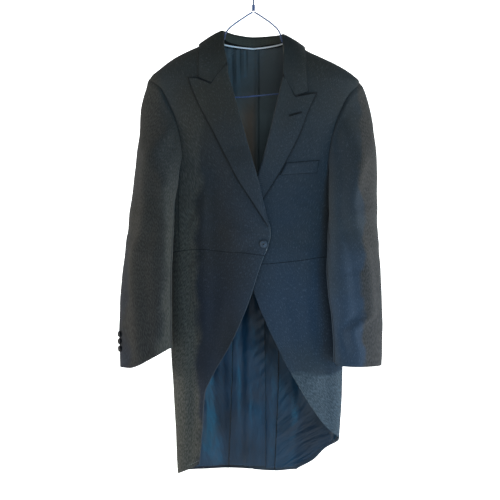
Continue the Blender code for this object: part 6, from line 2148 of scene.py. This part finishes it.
# %% [markdown]
# ## Crossed threads and hem stitches
#
# The horn buttons are sewn with two crossing threads. Where the right skirt's hem turns up at its
# front corner, a few pale felling stitches show.

# %% Threads of the cuff buttons and the hem
DISH_SHARE, CROSS_REACH, CROSS_BOW = 0.74, 0.0014, 0.0005
HEM_STITCHES, HEM_BOW = 7, np.array([0, -0.0003, 0])
HEM_CORNER, HEM_LENGTH, HEM_STITCH = (-0.151, 1.1265), (0.026, -0.013), (0.003, -0.0008)
lines = []
for centre, axis in HORN_PLACES:
    aside = unit(np.cross(axis, [0.0, 0.0, 1.0]))
    up = np.cross(axis, aside)
    top = centre + axis * CUFF_BUTTON_HEIGHT * DISH_SHARE
    for way in (-1, 1):
        reach = (aside * way + up) * CROSS_REACH
        lines.append(arch(top - reach, top + reach, axis * CROSS_BOW))
threads("button_threads", lines, 0.0003, THREAD, 7)

lines = []
for t in np.arange(HEM_STITCHES) / (HEM_STITCHES - 1):
    x, drop = (start + length * t for start, length in zip(HEM_CORNER, HEM_LENGTH))
    share = share_at(RIGHT, Mark("front", x, drop))
    both = np.array([-1, 1])
    ends = skin(share + both * HEM_STITCH[0], drop + both * HEM_STITCH[1],
                front_lift(RIGHT, np.full(2, share), np.full(2, drop)))
    lines.append(arch(ends[0], ends[1], HEM_BOW))
threads("hem_stitches", lines, 0.00035, PALE_THREAD, 9)

# %% [markdown]
# ## Camera, floor and light
#
# The photograph looks level at the coat, straight from the front, on white. A large cool light in
# front shows the wool as blue-grey. Two warm lights from the sides graze the sleeves and the edges
# of the fronts, which is why those turn brown in the photograph.

# %% Camera and floor
lens = bpy.data.cameras.new("camera")
lens.lens = 75.13
lens.sensor_width = 36.0
camera = in_scene("camera", lens)
camera.location = (-0.008, -2.4, -0.635)
camera.rotation_euler = (PI / 2, 0.0, 0.0)
scene.camera = camera

FLOOR_DROP, BACKDROP_AT, PAPER_REACH, PAPER_TOP = 1.30, 3.6, 7, 5
PAPER = 0.92


def stage_sheet(name, corners, glow):
    """A plain flat sheet of studio paper, lit a little from within so that it stays pale."""
    made, _, shader = surface(name)
    feed(made.node_tree, shader, {"Base Color": rgba((PAPER,) * 3), "Roughness": 0.9,
                                  "Emission Color": rgba((1.0,) * 3), "Emission Strength": glow})
    mesh = bpy.data.meshes.new(name)
    mesh.from_pydata(corners, [], [(0, 1, 2, 3)])
    mesh.materials.append(made)
    in_scene(name, mesh)


wide, far, low = PAPER_REACH, BACKDROP_AT, -FLOOR_DROP
stage_sheet("floor", [(-wide, -wide, low), (wide, -wide, low), (wide, far, low),
                      (-wide, far, low)], 0.62)
stage_sheet("backdrop", [(-wide, far, low), (wide, far, low), (wide, far, PAPER_TOP),
                         (-wide, far, PAPER_TOP)], 0.9)
print("camera", tuple(camera.location), "lens", lens.lens)

# %% [markdown]
# ## Light
#
# A cool lamp stands in front, a deep blue one low on the left, and a warm one on either side, near
# the coat's own plane. A lamp behind keeps the outline clear against the paper.

# %% Light
world = bpy.data.worlds.new("studio")
world.use_nodes = True
feed(world.node_tree, world.node_tree.nodes["Background"],
     {"Color": rgba((0.90, 0.96, 1.0)), "Strength": 0.34})
scene.world = world
scene.view_settings.view_transform = "Standard"
Light = namedtuple("Light", "name place size power color")
LIGHTS = rows_as(
    Light,
    ("front", (0.5, -2.5, 0.8), 1.0, 13.0, (0.80, 0.97, 1.0)),
    ("low_blue", (1.1, -1.8, -1.15), 0.7, 28.0, (0.06, 0.54, 0.98)),
    ("warm_right", (-2.0, -0.36, -0.6), 0.6, 50.0, (1.0, 0.93, 0.84)),
    ("warm_left", (2.0, -0.34, -0.7), 0.6, 54.0, (1.0, 0.97, 0.94)),
    ("back", (0.3, 2.4, 0.4), 1.6, 34.0, (0.92, 0.97, 1.0)),
)
LIT_PLACE = np.array([0.0, 0.0, -0.62])
for one in LIGHTS:
    lamp = bpy.data.lights.new(one.name, "AREA")
    lamp.size, lamp.energy, lamp.color = one.size, one.power, one.color
    holder = in_scene(one.name, lamp)
    holder.location = one.place
    aim = LIT_PLACE - np.array(one.place)
    holder.rotation_euler = (math.acos(-aim[2] / np.linalg.norm(aim)), 0.0,
                             math.atan2(-aim[0], aim[1]))
print([one.name for one in LIGHTS])
